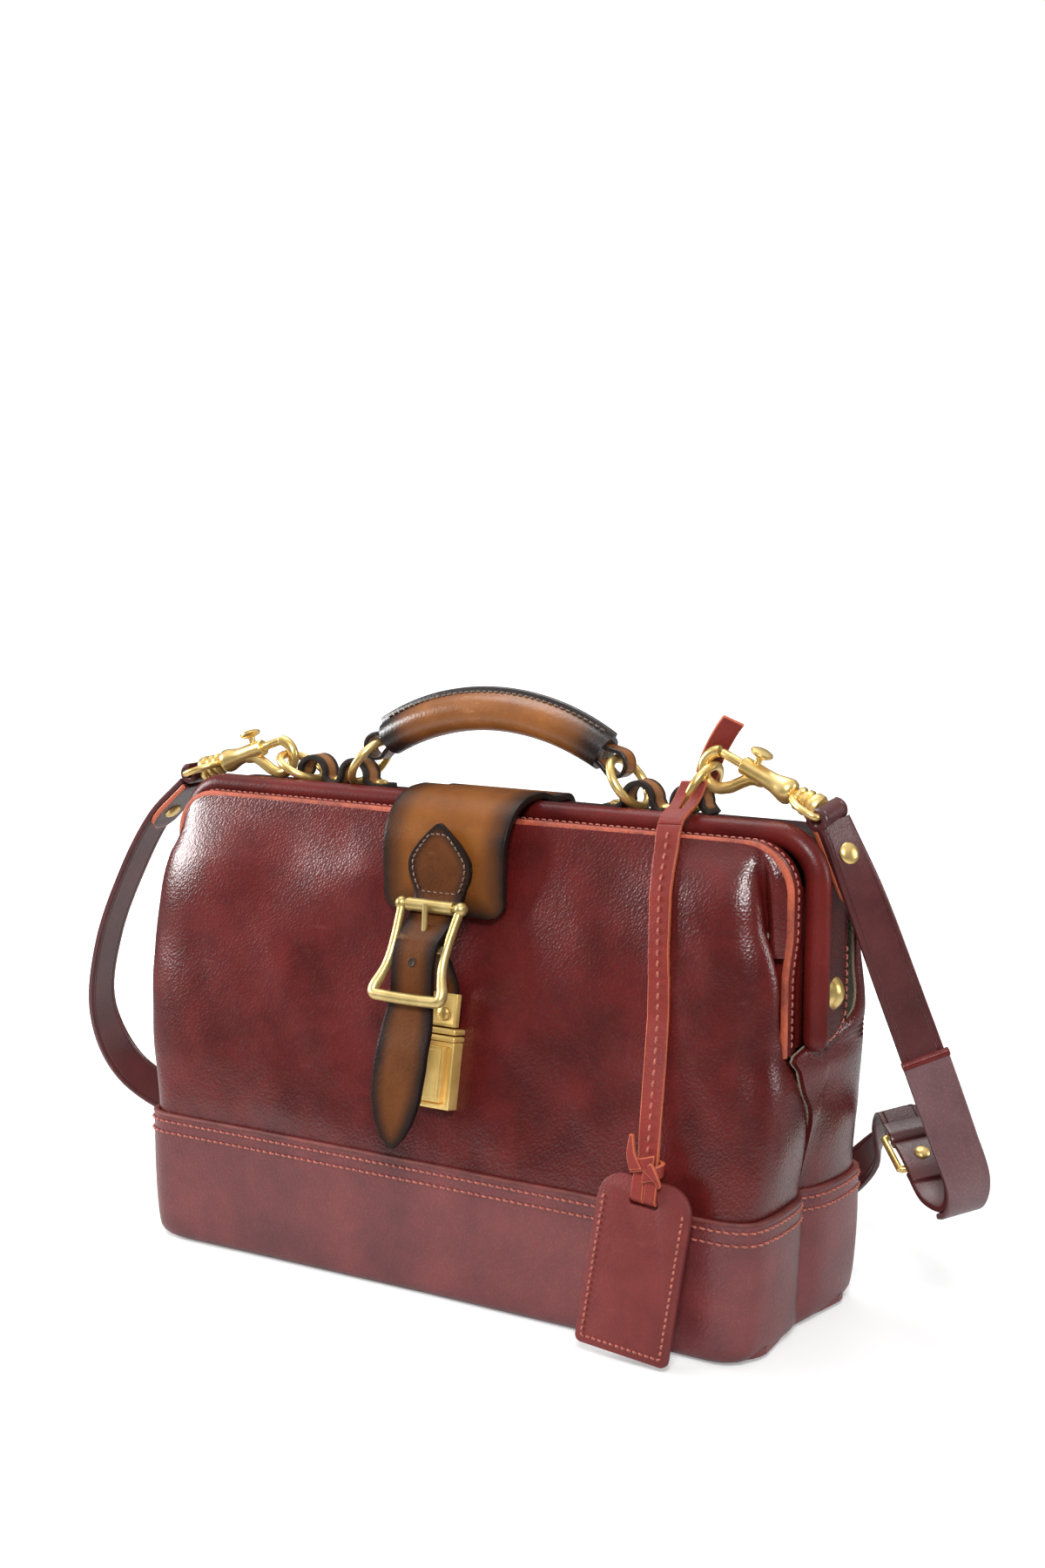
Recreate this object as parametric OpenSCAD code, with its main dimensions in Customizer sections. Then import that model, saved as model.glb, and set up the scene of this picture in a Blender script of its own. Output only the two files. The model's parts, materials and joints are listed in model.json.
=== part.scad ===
// Doctor bag: leather body on a hinged two-jaw frame, with a buckled flap, a top handle,
// a shoulder strap on two snap hooks and a hanging tag. Millimetres, +Z up, front towards -Y,
// origin on the floor under the middle of the base.

/* [Bag body] */
// Width of the body at the base
body_w = 330; // [315:1:350]
// Depth of the body at the base
body_d = 112; // [104:1:124]
// Height of the stitched base band
band_h = 62; // [50:1:70]
// Thickness of the body leather
leather_t = 2; // [1.6:0.1:2.4]
// Thickness of the lining
lining_t = 0.8; // [0.6:0.1:1.2]
// Radius of the rolled lower edge
lower_edge_r = 6; // [4:1:10]
// Radius of the body's upright corners
upright_r = 16; // [10:1:24]
// How far the ends fold inwards
gusset_fold = 6; // [0:1:10]
// Height below the jaws over which the ends widen to the frame
flare_run = 36; // [24:1:46]
// Thickness of the stiff base board
board_t = 3; // [2:0.5:4]

/* [Frame] */
// Width over the leather roll of the back jaw
frame_w = 348; // [338:1:360]
// Height of the top of the roll
frame_top = 222; // [216:1:230]
// Diameter of the leather roll
roll_d = 11; // [9:0.5:12]
// Radius of the frame's top corners, on the roll's middle line
frame_corner_r = 20; // [16:1:26]
// Depth of the back jaw's flat top
cover_d = 20; // [18:1:24]
// Thickness of the back jaw's leather cover
cover_t = 4; // [3:0.5:5]
// Height of the hinge rivets
hinge_z = 149; // [144:1:154]
// How far the jaws reach below the hinge rivets
tab_drop = 23; // [18:1:26]
// Diameter of the hinge pins
pin_d = 4; // [3:0.5:5]
// Diameter of the domed rivet heads
rivet_head_d = 14; // [11:1:16]
// Width of the front jaw's steel strip
jaw_strip_w = 10; // [8:0.5:12]
// Thickness of the front jaw's steel strip
jaw_strip_t = 2.5; // [2:0.1:3]

/* [Flap and closure] */
// Width of the flap
flap_w = 64; // [56:1:72]
// Thickness of the flap leather
flap_t = 3; // [2.5:0.1:3.5]
// Height of the flap's lower edge
flap_bottom = 172; // [166:1:178]
// Width of the closure strap
closure_w = 25; // [22:1:28]
// Thickness of the closure strap
closure_t = 2.5; // [2:0.1:3]
// Diameter of the buckle's bars
buckle_bar_d = 4; // [3.5:0.1:4.4]
// Outer diameter of the buckle's roller
roller_d = 6; // [5.6:0.1:6.4]
// Width of the lock box
lock_w = 34; // [28:1:38]
// Height of the lock box
lock_h = 36; // [32:1:40]
// Depth of the lock box
lock_d = 8; // [7:0.5:9]
// Travel of the lock's press plate
press_travel = 1.5; // [1:0.1:2]

/* [Handle] */
// Diameter of the grip
grip_d = 17; // [14:0.5:19]
// Height of the middle of the grip above the roll
grip_rise = 37; // [32:1:44]
// Radius of the grip's arc
grip_arc_r = 117; // [110:1:130]
// Half of the angle that the grip's arc spans
grip_half_angle = 30; // [26:1:31]
// Diameter of the cord core inside the grip
core_d = 9.6; // [8:0.2:10]

/* [Rings and ring straps] */
// Wire diameter of the rings
ring_wire = 4; // [3:0.2:4]
// Distance of the outer rings' far side from their tunnel
ring_reach = 22.5; // [21:0.5:24]
// Width of the ring straps
ring_strap_w = 11; // [9:0.5:12]
// Thickness of the ring straps
ring_strap_t = 2.5; // [2:0.1:3]
// Inner radius of the tunnels in the ring straps
tunnel_r = 6; // [5.8:0.1:6.4]
// Distance of the handle tunnels from the middle
handle_tunnel_x = 77.5; // [76:0.5:79]
// Distance of the outer tunnels from the frame's ends
hook_tunnel_inset = 72; // [68:0.5:74]
// Diameter of the screw heads
screw_head_d = 6.6; // [5:0.2:7]

/* [Snap hooks] */
// Inner radius of the hook's loop
hook_loop_r = 5.6; // [5.4:0.1:6.2]
// Diameter of the hook's bar
hook_bar_d = 4.8; // [4:0.2:5.4]
// Diameter of the barrel
barrel_d = 8.5; // [8:0.1:9.5]
// Diameter of the sliding bolt
bolt_d = 4; // [3.6:0.1:4.4]
// Travel of the sliding bolt
bolt_travel = 8; // [6:0.5:8]
// Wire diameter of the swivel eye
eye_wire = 3.2; // [2.6:0.2:3.6]

/* [Shoulder strap and tag] */
// Width of the shoulder strap
strap_w = 19; // [17:0.5:20]
// Thickness of the shoulder strap
strap_t = 3; // [2.4:0.2:3.4]
// Width of the tag
tag_w = 44; // [38:1:48]
// Height of the tag
tag_h = 74; // [66:1:76]
// Thickness of the tag
tag_t = 3; // [2.4:0.2:3.6]
// Width of the tag's strap
tag_strap_w = 11.5; // [10:0.5:13]
// Thickness of the tag's strap
tag_strap_t = 2.4; // [2:0.2:3]

/* [Hidden] */
$fn = 48;

// Clearances
seat_gap = 0.3;
skin_gap = 0.2;
running_gap = 0.05;

// Back jaw: the roll, the cover behind it and the steel strip inside the cover
roll_y = -9;
roll_z = frame_top - roll_d / 2;
roll_x = frame_w / 2 - roll_d / 2;
cover_y0 = roll_y + roll_d / 2 + seat_gap;
cover_y1 = cover_y0 + cover_d;
cover_top = frame_top - 3;
cover_half = roll_x + 2.5;
cover_corner = frame_corner_r + 2.5;
steel_t = 2.5;
steel_y0 = cover_y0 + 2;
steel_y1 = cover_y1 - 3;
steel_half = cover_half - cover_t - seat_gap;
steel_top = cover_top - cover_t - seat_gap;
tab_z = hinge_z - tab_drop;
hinge_y = (cover_y0 + cover_y1) / 2 - 2.8;

// Front jaw: it lies inside the roll's arms and one mouth gap in front of the roll
mouth_gap = 1;
side_gap = 0.4;
binding_t = 2;
jaw_half = roll_x - roll_d / 2 - side_gap;
jaw_y1 = roll_y - roll_d / 2 - mouth_gap;
jaw_y0 = jaw_y1 - 2 * binding_t - jaw_strip_t - 2 * skin_gap;
jaw_top = frame_top - 6.8;
jaw_corner = frame_corner_r + 1;
jaw_depth = binding_t + skin_gap + jaw_strip_w;
strip_half = jaw_half - binding_t - skin_gap;
strip_top = jaw_top - binding_t - skin_gap;
strip_corner = jaw_corner - binding_t - skin_gap;
strip_y0 = jaw_y0 + binding_t + skin_gap;
strip_y1 = strip_y0 + jaw_strip_t;
lug_t = 3;
lug_r = 9;
lug_x = strip_half - lug_t - skin_gap;

// Leather shell: each half ends on its jaw above the tabs and at the end folds below them
front_neck = jaw_half + leather_t + skin_gap;
back_neck = cover_half + leather_t + skin_gap;
panel_inset = leather_t + skin_gap;
lining_inset = panel_inset + leather_t + seat_gap;
front_seat = seat_gap - jaw_y0;
back_seat = cover_y1 + seat_gap;
flare_low = tab_z - flare_run;
fold_high = tab_z - 20;
band_foot = 0.4;

function low_inset(z) =
    z < lower_edge_r ? lower_edge_r - sqrt(pow(lower_edge_r, 2) - pow(lower_edge_r - z, 2)) : 0;
function part_way(z, low, high) = max(0, min(1, (z - low) / (high - low)));
function ease(t) = t * t * (3 - 2 * t);
function half_w(z, neck, top, corner) =
    z < top - corner ? body_w / 2 + (neck - body_w / 2) * ease(part_way(z, flare_low, tab_z))
    : neck - corner + sqrt(max(0, pow(corner, 2) - pow(z - top + corner, 2)));
function half_d(z, seat, top) =
    body_d / 2 + (seat + leather_t + panel_inset - body_d / 2) * part_way(z, band_h, top);
function front_depth(z) = half_d(z, front_seat, jaw_top);
function back_depth(z) = half_d(z, back_seat, cover_top);

// Half of the outline at a height, from the right end round the front (or the back) to the left end
function half_outline(a, b, end, fold, way) =
    let (r = min(upright_r, b - end - 0.5))
    let (right = concat(
        [[a - fold, way * end], [a - fold * 0.3, way * (end + (b - r - end) * 0.6)]],
        [for (q = [0 : 15 : 90]) [a - r + r * cos(q), way * (b - r + r * sin(q))]],
        [[(a - r) * 0.6, way * b], [(a - r) * 0.3, way * b]]))
    concat(right, [[0, way * b]], [for (i = [len(right) - 1 : -1 : 0]) [-right[i][0], right[i][1]]]);
function fold_at(z) = gusset_fold * (1 - ease(part_way(z, band_h, fold_high)));
function end_at(z, seat) = z < tab_z - 4 ? seat_gap : seat;
function front_outline(z, inset) = half_outline(
    half_w(z, front_neck, jaw_top, jaw_corner) - low_inset(z) - inset,
    front_depth(z) - low_inset(z) - inset, end_at(z, front_seat), fold_at(z), -1);
function back_outline(z, inset) = half_outline(
    half_w(z, back_neck, cover_top, cover_corner) - low_inset(z) - inset,
    back_depth(z) - low_inset(z) - inset, end_at(z, back_seat), fold_at(z), 1);
function reversed(list) = [for (i = [len(list) - 1 : -1 : 0]) list[i]];
function full_outline(z, inset) = concat(front_outline(z, inset), reversed(back_outline(z, inset)));
function at_height(outline, z) = [for (p = outline) [p[0], p[1], z]];

// Closed solid between an outer and an inner grid of points, both given as rows from low to high
module sheet(outer, inner, closed = false) {
    rows = len(outer);
    cols = len(outer[0]);
    count = rows * cols;
    last = closed ? cols : cols - 1;
    points = concat([for (row = outer) for (p = row) p], [for (row = inner) for (p = row) p]);
    skins = [for (i = [0 : rows - 2]) for (j = [0 : last - 1])
        let (a = i * cols + j)
        let (b = i * cols + (j + 1) % cols)
        each [[a, b, b + cols], [a, b + cols, a + cols],
              [count + a, count + b + cols, count + b], [count + a, count + a + cols, count + b + cols]]];
    rims = [for (j = [0 : last - 1])
        let (b = (j + 1) % cols)
        let (top = (rows - 1) * cols)
        each [[j, count + b, b], [j, count + j, count + b],
              [top + j, top + b, count + top + b], [top + j, count + top + b, count + top + j]]];
    sides = closed ? [] : [for (i = [0 : rows - 2])
        let (a = i * cols)
        let (b = a + cols - 1)
        each [[a, a + cols, count + a + cols], [a, count + a + cols, count + a],
              [b, count + b + cols, b + cols], [b, count + b, count + b + cols]]];
    polyhedron(points, concat(skins, rims, sides));
}

// Outline of a frame jaw seen from the front: an upright plate with two round top corners
module arch_face(half, top, corner, bottom) {
    translate([-half, bottom])
        square([2 * half, top - corner - bottom]);
    translate([-half + corner, bottom])
        square([2 * (half - corner), top - bottom]);
    for (side = [-1, 1])
        translate([side * (half - corner), top - corner])
            circle(corner);
}

module arch_strip(half, top, corner, bottom, depth, y0, y1) {
    translate([0, y1, 0])
        rotate([90, 0, 0])
            linear_extrude(y1 - y0)
                difference() {
                    arch_face(half, top, corner, bottom);
                    arch_face(half - depth, top - depth, corner - depth, bottom - 1);
                }
}

// Round bar between two points
module rod(from, to, d) {
    v = to - from;
    translate(from)
        rotate([0, acos(v[2] / norm(v)), atan2(v[1], v[0])])
            cylinder(d = d, h = norm(v));
}

// Strip of even thickness along points of a side view, as wide as given along X
function band_side(points, shift) = [for (i = [0 : len(points) - 1])
    let (d = points[min(i + 1, len(points) - 1)] - points[max(i - 1, 0)])
    points[i] + shift * [-d[1], d[0]] / norm(d)];
module side_band(points, thickness, width) {
    translate([-width / 2, 0, 0])
        rotate([90, 0, 90])
            linear_extrude(width)
                polygon(concat(band_side(points, thickness / 2),
                               reversed(band_side(points, -thickness / 2))));
}
function arc_points(centre, r, from, to, steps) = [for (i = [0 : steps])
    let (q = from + (to - from) * i / steps)
    centre + r * [cos(q), sin(q)]];

function place_of(route, i) = [for (k = [0 : 2]) route[i][k]];

// Flat strap swept along a route whose entries hold a place and the strap's width direction
function strap_ring(route, i, width, thickness) =
    let (place = place_of(route, i))
    let (step = place_of(route, min(i + 1, len(route) - 1)) - place_of(route, max(i - 1, 0)))
    let (along = step / norm(step))
    let (wish = [for (k = [3 : 5]) route[i][k]])
    let (across = (wish - along * (wish * along)) / norm(wish - along * (wish * along)))
    let (up = cross(along, across))
    let (w = width / 2)
    let (t = thickness / 2)
    let (c = thickness / 3)
    [for (q = [[w, t - c], [w - c, t], [c - w, t], [-w, t - c],
               [-w, c - t], [c - w, -t], [w - c, -t], [w, c - t]])
        place + across * q[0] + up * q[1]];
module flat_strap(route, width, thickness) {
    rings = len(route);
    sides = 8;
    far = (rings - 1) * sides;
    points = [for (i = [0 : rings - 1]) each strap_ring(route, i, width, thickness)];
    skin = [for (i = [0 : rings - 2]) for (j = [0 : sides - 1])
        let (a = i * sides + j)
        let (b = i * sides + (j + 1) % sides)
        each [[a, b + sides, b], [a, a + sides, b + sides]]];
    caps = [for (j = [1 : sides - 2]) each [[0, j, j + 1], [far, far + j + 1, far + j]]];
    polyhedron(points, concat(skin, caps));
}

// Flap: the arc over the mouth ends in a straight hanging part
flap_cut_lead = 4;
flap_cut_y = roll_y - flap_cut_lead;
crown_flat = 3;
crown_fall = 13;
flap_back_r = 4.5;
flap_tail = 19;
flap_edge_r = 8;
crown_z = frame_top + seat_gap + flap_t / 2;
flap_arc_r = 24.5;
flap_centre = [flap_cut_y, crown_z - flap_arc_r];
flap_hang_y = flap_cut_y - flap_arc_r;
flap_face_y = flap_hang_y - flap_t / 2;
flap_slit = 0.3;

// Buckle: roller bar, keeper bar and the middle bar just behind their plane, all in the side view
roller_stand = 3;
roller_lift = 5;
keeper_out = 19;
keeper_drop = 36;
middle_set = 3;
roller_at = [flap_face_y - roller_d / 2 - closure_t - roller_stand, flap_bottom + roller_lift];
keeper_at = roller_at + [-keeper_out, -keeper_drop];
buckle_dir = (keeper_at - roller_at) / norm(keeper_at - roller_at);
buckle_back = [-buckle_dir[1], buckle_dir[0]];
middle_share = 0.45;
middle_at = roller_at + middle_share * (keeper_at - roller_at) + middle_set * buckle_back;
roller_half = 15.5;
keeper_half = 18;
keeper_bar_d = buckle_bar_d + 0.4;
wrap_slack = 0.3;
strap_behind = closure_t / 2 + seat_gap + wrap_slack;
prong_d = 2.6;
prong_eye_d = buckle_bar_d + 2 * running_gap + 3;
prong_eye_w = 6;
prong_swing = 56;
leg_w = closure_w - 4;
leg_t = 2;
leg_in = buckle_bar_d + 2 * skin_gap;
leg_loop_r = leg_in / 2 + leg_t;
prong_stand = roller_d / 2 + prong_d / 2 + seat_gap;
prong_run = roller_at - middle_at;
prong_rest = atan2(prong_run[1], prong_run[0]) + asin(prong_stand / norm(prong_run));
prong_l = sqrt(pow(norm(prong_run), 2) - pow(prong_stand, 2)) + 1.5;
prong_tip = middle_at + prong_l * [cos(prong_rest), sin(prong_rest)];
closure_drop = 97;
closure_point = 16;
closure_tip_half = 4;
closure_taper = 2;
closure_start = 24;
closure_bend = 9;
closure_lean = [4, 10, 12.5];
closure_fall = [26, 49];
patch_spread = 4;
patch_foot = 8;
patch_wide = 17;
patch_shoulder = 26;
patch_top = 41;
closure_tip_z = flap_bottom - closure_drop;
patch_y = flap_face_y - seat_gap - closure_t / 2;
closure_line = [
    [patch_y, flap_bottom + closure_start], [patch_y, flap_bottom + closure_bend],
    roller_at + (roller_d / 2 + strap_behind) * buckle_back,
    middle_at - (max(prong_eye_d / 2, leg_loop_r) + strap_behind) * buckle_back,
    keeper_at + (keeper_bar_d / 2 + strap_behind) * buckle_back,
    keeper_at - [closure_lean[0], closure_fall[0]], keeper_at - [closure_lean[1], closure_fall[1]],
    [keeper_at[0] - closure_lean[2], closure_tip_z]];

// Lock on the front panel, tilted like the panel
lock_z = 105;
lock_low = lock_z - lock_h / 2;
lock_high = lock_z + lock_h / 2;
lock_tilt = atan((front_depth(lock_low) - front_depth(lock_high)) / lock_h);
lock_y = panel_inset - front_depth(lock_z) - seat_gap / cos(lock_tilt);
press_w = 22;
press_h = 24;
press_out = 2.4;
press_t = 4;
press_front = -lock_d - press_out;
press_edge = 3 - lock_h / 2;
clip_h = 15;
clip_t = 3;
clip_y = -lock_d / 2 - 1.5;
clip_rivet_d = 3;
clip_rivet_z = lock_h / 2 + clip_h / 2 + 1;
leg_y = clip_y + clip_t / 2 + leg_t / 2 + skin_gap;
lock_rivet_d = 2.4;
lock_rivet_x = lock_w / 2 - 2.8;
lock_rivet_z = [lock_h / 2 - 10, 6 - lock_h / 2];
function lock_place(y, z) =
    [lock_y + y * cos(lock_tilt) + z * sin(lock_tilt), lock_z - y * sin(lock_tilt) + z * cos(lock_tilt)];

// Handle, rings and ring straps on the middle line of the back jaw's flat top
hook_tunnel_x = frame_w / 2 - hook_tunnel_inset;
strap_line_y = hinge_y;
strip_z = cover_top + skin_gap;
tunnel_foot = 0.8;
tunnel_z = strip_z + tunnel_r - tunnel_foot;
wire_z = strip_z + ring_wire / 2 + seat_gap;
hump_r = tunnel_r + ring_strap_t;
ring_strap_x0 = handle_tunnel_x - hump_r - screw_head_d - 3;
ring_strap_x1 = hook_tunnel_x + hump_r + 2;
screw_x = [handle_tunnel_x - hump_r - screw_head_d / 2 - 0.8, (handle_tunnel_x + hook_tunnel_x) / 2];
screw_d = 3;
screw_l = steel_t + cover_t + seat_gap + ring_strap_t + skin_gap;
grip_z = frame_top + grip_rise;
grip_end = [grip_arc_r * sin(grip_half_angle), grip_z - grip_arc_r * (1 - cos(grip_half_angle))];
loop_reach = 7.5;
loop_at = grip_end + loop_reach * [cos(grip_half_angle), -sin(grip_half_angle)];
loop_in_r = ring_wire / 2 + 2.6;
loop_out_r = loop_in_r + 2;
loop_w = 9;
handle_ring_way = loop_at - [handle_tunnel_x, wire_z];
handle_ring_top = loop_at + (loop_in_r - ring_wire / 2 - seat_gap) * handle_ring_way / norm(handle_ring_way);
fin_h = 2.5;

// Snap hooks: each hangs in its ring, at its own slope
ring_rise = [62.5, 27];
hook_slope = [25, 20];
loop_mid_r = hook_loop_r + hook_bar_d / 2;
bolt_z = loop_mid_r - 0.75;
ring_rest = hook_loop_r - ring_wire / 2 - skin_gap;
function ring_far(k) = [hook_tunnel_x, wire_z] + ring_reach * [cos(ring_rise[k]), sin(ring_rise[k])];
function hook_at(k) = ring_far(k) + ring_rest * [cos(hook_slope[k]), -sin(hook_slope[k])];
barrel_x0 = 9;
barrel_x1 = 28;
bolt_tip_x = -1.4;
bolt_end_x = 14.5;
bolt_bore_end = bolt_end_x + bolt_travel + 1.5;
knob_x = 12.6;
knob_stem_d = 2.4;
knob_d = 7;
shank_d = 3;
shank_x0 = bolt_bore_end + 1;
eye_half = strap_w / 2 + 1 + eye_wire / 2;
eye_x = 36 + eye_half;
eye_bar_x = eye_x + 4;
strap_loop_r = eye_wire / 2 + seat_gap;
function eye_bar_at(k) = hook_at(k) + eye_bar_x * [cos(hook_slope[k]), -sin(hook_slope[k])]
    + bolt_z * [sin(hook_slope[k]), cos(hook_slope[k])];

// Routes of the straps: place and width direction
strap_left = eye_bar_at(1);
strap_right = eye_bar_at(0);
strap_start = strap_loop_r + strap_t / 2;
short_route = [
    [strap_right[0] + strap_start * 0.7, strap_line_y, strap_right[1] - strap_start * 0.7, 0, 1, 0],
    [184, 6, 188, 0, 1, 0], [197, 8, 155, 0, 1, 0], [210, 10, 122, 0, 1, 0], [221, 12, 92, 0, 1, 0.1],
    [226, 15, 74, 0, 1, 0.2], [222, 20, 62, 0, 1, 0.3], [211, 27, 62, 0, 1, 0.4], [201, 36, 69, 0, 1, 0.5]];
short_end = place_of(short_route, len(short_route) - 1);
short_step = short_end - place_of(short_route, len(short_route) - 2);
short_dir = short_step / norm(short_step);
short_wide = cross(cross(short_dir, [0, 1, 0.5]), short_dir);
short_across = short_wide / norm(short_wide);
strap_buckle_wire = 3;
strap_buckle_l = 22;
strap_buckle_at = short_end + (strap_buckle_wire / 2 + seat_gap) * short_dir;
long_end = strap_buckle_at + (strap_buckle_l + strap_buckle_wire / 2 + seat_gap) * short_dir;
long_route = [
    [-strap_left[0] - strap_start * 0.7, strap_line_y, strap_left[1] - strap_start * 0.7, 0, 1, 0],
    [-205, 6, 196, 0, 1, 0], [-228, 9, 165, 0, 1, 0], [-250, 13, 125, 0, 1, 0.1],
    [-262, 20, 85, 0, 1, 0.3], [-258, 36, 50, 0.3, 0.8, 0.6], [-236, 56, 28, 0.2, 0.4, 0.9],
    [-200, 72, 18, 0, 0.2, 1], [-150, 80, 14, 0, 0.1, 1], [-100, 82, 12, 0, 0, 1], [-50, 82, 12, 0, 0, 1],
    [0, 82, 12, 0, 0, 1], [50, 82, 13, 0, 0, 1], [95, 82, 20, 0, 0, 1], [135, 80, 38, 0, 0.2, 1],
    [160, 75, 62, 0, 0.4, 0.9], concat(long_end + 12 * short_dir, short_across),
    concat(long_end, short_across)];
tag_top = [119, -62, 77];
tag_lean = 9;
tag_roll = 5;
tag_x = hook_tunnel_x + 5;
tag_hang_y = strap_line_y - ring_reach / 2 - ring_wire / 2 - tag_strap_t / 2 - seat_gap;
tag_route = [
    [tag_x, tag_hang_y, frame_top + 16, 1, 0, 0], [tag_x, tag_hang_y - 0.2, frame_top + 8, 1, 0, 0],
    [tag_x, -15, frame_top + 3.5, 1, 0, 0], [tag_x, -23, frame_top - 1, 1, 0, 0],
    [tag_x + 1, -29, frame_top - 9, 1, 0, 0], [109, -32, 196, 1, 0, 0], [111, -37, 172, 1, 0, 0],
    [113, -43, 149, 1, 0, 0],
    [115, -50, 124, 1, 0, 0], [117, -57, 100, 1, 0, 0], [118.6, -61, 84, 1, 0, 0],
    [119, -62.2, 78, cos(tag_roll), 0, -sin(tag_roll)]];

maroon = "#5c1a1c";
tan = "#8a5228";
brass = "#b08d3c";
steel = "#8f9296";

// Leather body
band_rows = concat([band_foot], [for (share = [0.15, 0.4, 0.7, 1]) lower_edge_r * share],
    [band_h / 2, band_h]);
panel_low = band_h - 12;
split_drop = 13;
panel_split = tab_z - split_drop;
panel_slit = 0.4;
low_rows = [panel_low, band_h, (band_h + fold_high) / 2, fold_high, panel_split];
lining_lift = 2.7;
lining_foot = leather_t + seat_gap + board_t + lining_lift;
lining_rows = [lining_foot, 2 * lining_foot, band_h, (band_h + fold_high) / 2, fold_high, panel_split - 1];
function neck_rows(top, corner) = concat(
    [tab_z - 8, tab_z - 4.5, tab_z - 0.5, tab_z + 12, hinge_z, (hinge_z + top - corner) / 2],
    [for (q = [0 : 18 : 72]) top - corner + corner * sin(q)], [top - 1]);

module base_panel() {
    color(maroon)
        linear_extrude(leather_t)
            polygon(full_outline(lower_edge_r, low_inset(band_foot) + leather_t + seat_gap));
}

module base_board() {
    color("#3b2a20")
        translate([0, 0, leather_t + seat_gap])
            linear_extrude(board_t)
                polygon(full_outline(lower_edge_r, low_inset(leather_t) + leather_t + seat_gap));
}

module base_band() {
    color("#531719")
        sheet([for (z = band_rows) at_height(full_outline(z, 0), z)],
              [for (z = band_rows) at_height(full_outline(z, leather_t), z)], closed = true);
}

module panel_half(rows, front) {
    skins = [for (inset = [panel_inset, panel_inset + leather_t]) [for (z = rows)
        at_height(front ? front_outline(z, inset) : back_outline(z, inset), z)]];
    color(maroon)
        if (front)
            sheet(skins[0], skins[1]);
        else
            sheet([for (row = skins[0]) reversed(row)], [for (row = skins[1]) reversed(row)]);
}

module front_panel() {
    panel_half(low_rows, true);
}

module front_panel_top() {
    panel_half(concat([panel_split + panel_slit], neck_rows(jaw_top, jaw_corner)), true);
}

module back_panel() {
    panel_half(concat(low_rows, neck_rows(cover_top, cover_corner)), false);
}

module lining() {
    color("#7a6a55")
        sheet([for (z = lining_rows) at_height(full_outline(z, lining_inset), z)],
              [for (z = lining_rows) at_height(full_outline(z, lining_inset + lining_t), z)], closed = true);
}

// Frame
module screw_bores(d) {
    for (side = [-1, 1])
        for (x = screw_x)
            translate([side * x, strap_line_y, steel_top - steel_t - 1])
                cylinder(d = d, h = 40);
}

module hinge_bores(d) {
    translate([-frame_w, hinge_y, hinge_z])
        rotate([0, 90, 0])
            cylinder(d = d, h = 2 * frame_w);
}

module back_frame() {
    color(steel)
        difference() {
            arch_strip(steel_half, steel_top, cover_corner - cover_t - seat_gap, tab_z + 4, steel_t,
                       steel_y0, steel_y1);
            screw_bores(screw_d);
            hinge_bores(pin_d);
        }
}

module back_frame_cover() {
    color(maroon)
        difference() {
            arch_strip(cover_half, cover_top, cover_corner, tab_z, cover_t, cover_y0, cover_y1);
            screw_bores(screw_d);
            hinge_bores(pin_d);
        }
}

module frame_roll() {
    color("#4d1517") {
        translate([frame_corner_r - roll_x, roll_y, roll_z])
            rotate([0, 90, 0])
                cylinder(d = roll_d, h = 2 * (roll_x - frame_corner_r));
        for (side = [0, 1])
            mirror([side, 0, 0]) {
                translate([roll_x - frame_corner_r, roll_y, roll_z - frame_corner_r])
                    rotate([90, 0, 0])
                        rotate_extrude(angle = 90)
                            translate([frame_corner_r, 0])
                                circle(d = roll_d);
                translate([roll_x, roll_y, tab_z])
                    cylinder(d = roll_d, h = roll_z - frame_corner_r - tab_z);
            }
    }
}

module hinge_pins() {
    dome = 3.5;
    dome_r = (pow(rivet_head_d / 2, 2) + pow(dome, 2)) / (2 * dome);
    inner_head_x = lug_x - seat_gap - 1.5;
    color(brass)
        for (side = [0, 1])
            mirror([side, 0, 0])
                translate([0, hinge_y, hinge_z])
                    rotate([0, 90, 0]) {
                        translate([0, 0, inner_head_x])
                            cylinder(d = pin_d + 4, h = 1.5);
                        translate([0, 0, inner_head_x])
                            cylinder(d = pin_d, h = cover_half - inner_head_x);
                        intersection() {
                            translate([0, 0, cover_half + dome - dome_r])
                                sphere(dome_r);
                            translate([0, 0, cover_half])
                                cylinder(d = rivet_head_d, h = dome + 1);
                        }
                    }
}

module lug_face(extra) {
    translate([strip_y0 + 0.5, hinge_z - lug_r - extra])
        square([hinge_y - strip_y0 - 0.5, 2 * (lug_r + extra)]);
    translate([hinge_y, hinge_z])
        circle(lug_r + extra);
}

module jaw_lugs(extra) {
    for (side = [0, 1])
        mirror([side, 0, 0])
            translate([lug_x - extra, 0, 0])
                rotate([90, 0, 90])
                    linear_extrude(lug_t + 2 * extra)
                        lug_face(extra);
}

module front_frame() {
    color(steel)
        difference() {
            union() {
                arch_strip(strip_half, strip_top, strip_corner, tab_z + 4, jaw_strip_w, strip_y0, strip_y1);
                jaw_lugs(0);
            }
            hinge_bores(pin_d + 2 * running_gap);
        }
}

module front_binding() {
    color("#7a2a1e")
        difference() {
            arch_strip(jaw_half, jaw_top, jaw_corner, tab_z, jaw_depth, jaw_y0, jaw_y1);
            arch_strip(strip_half + skin_gap, strip_top + skin_gap, strip_corner + skin_gap, tab_z - 1,
                       jaw_depth, strip_y0 - skin_gap, strip_y1 + skin_gap);
            jaw_lugs(seat_gap);
        }
}

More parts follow.
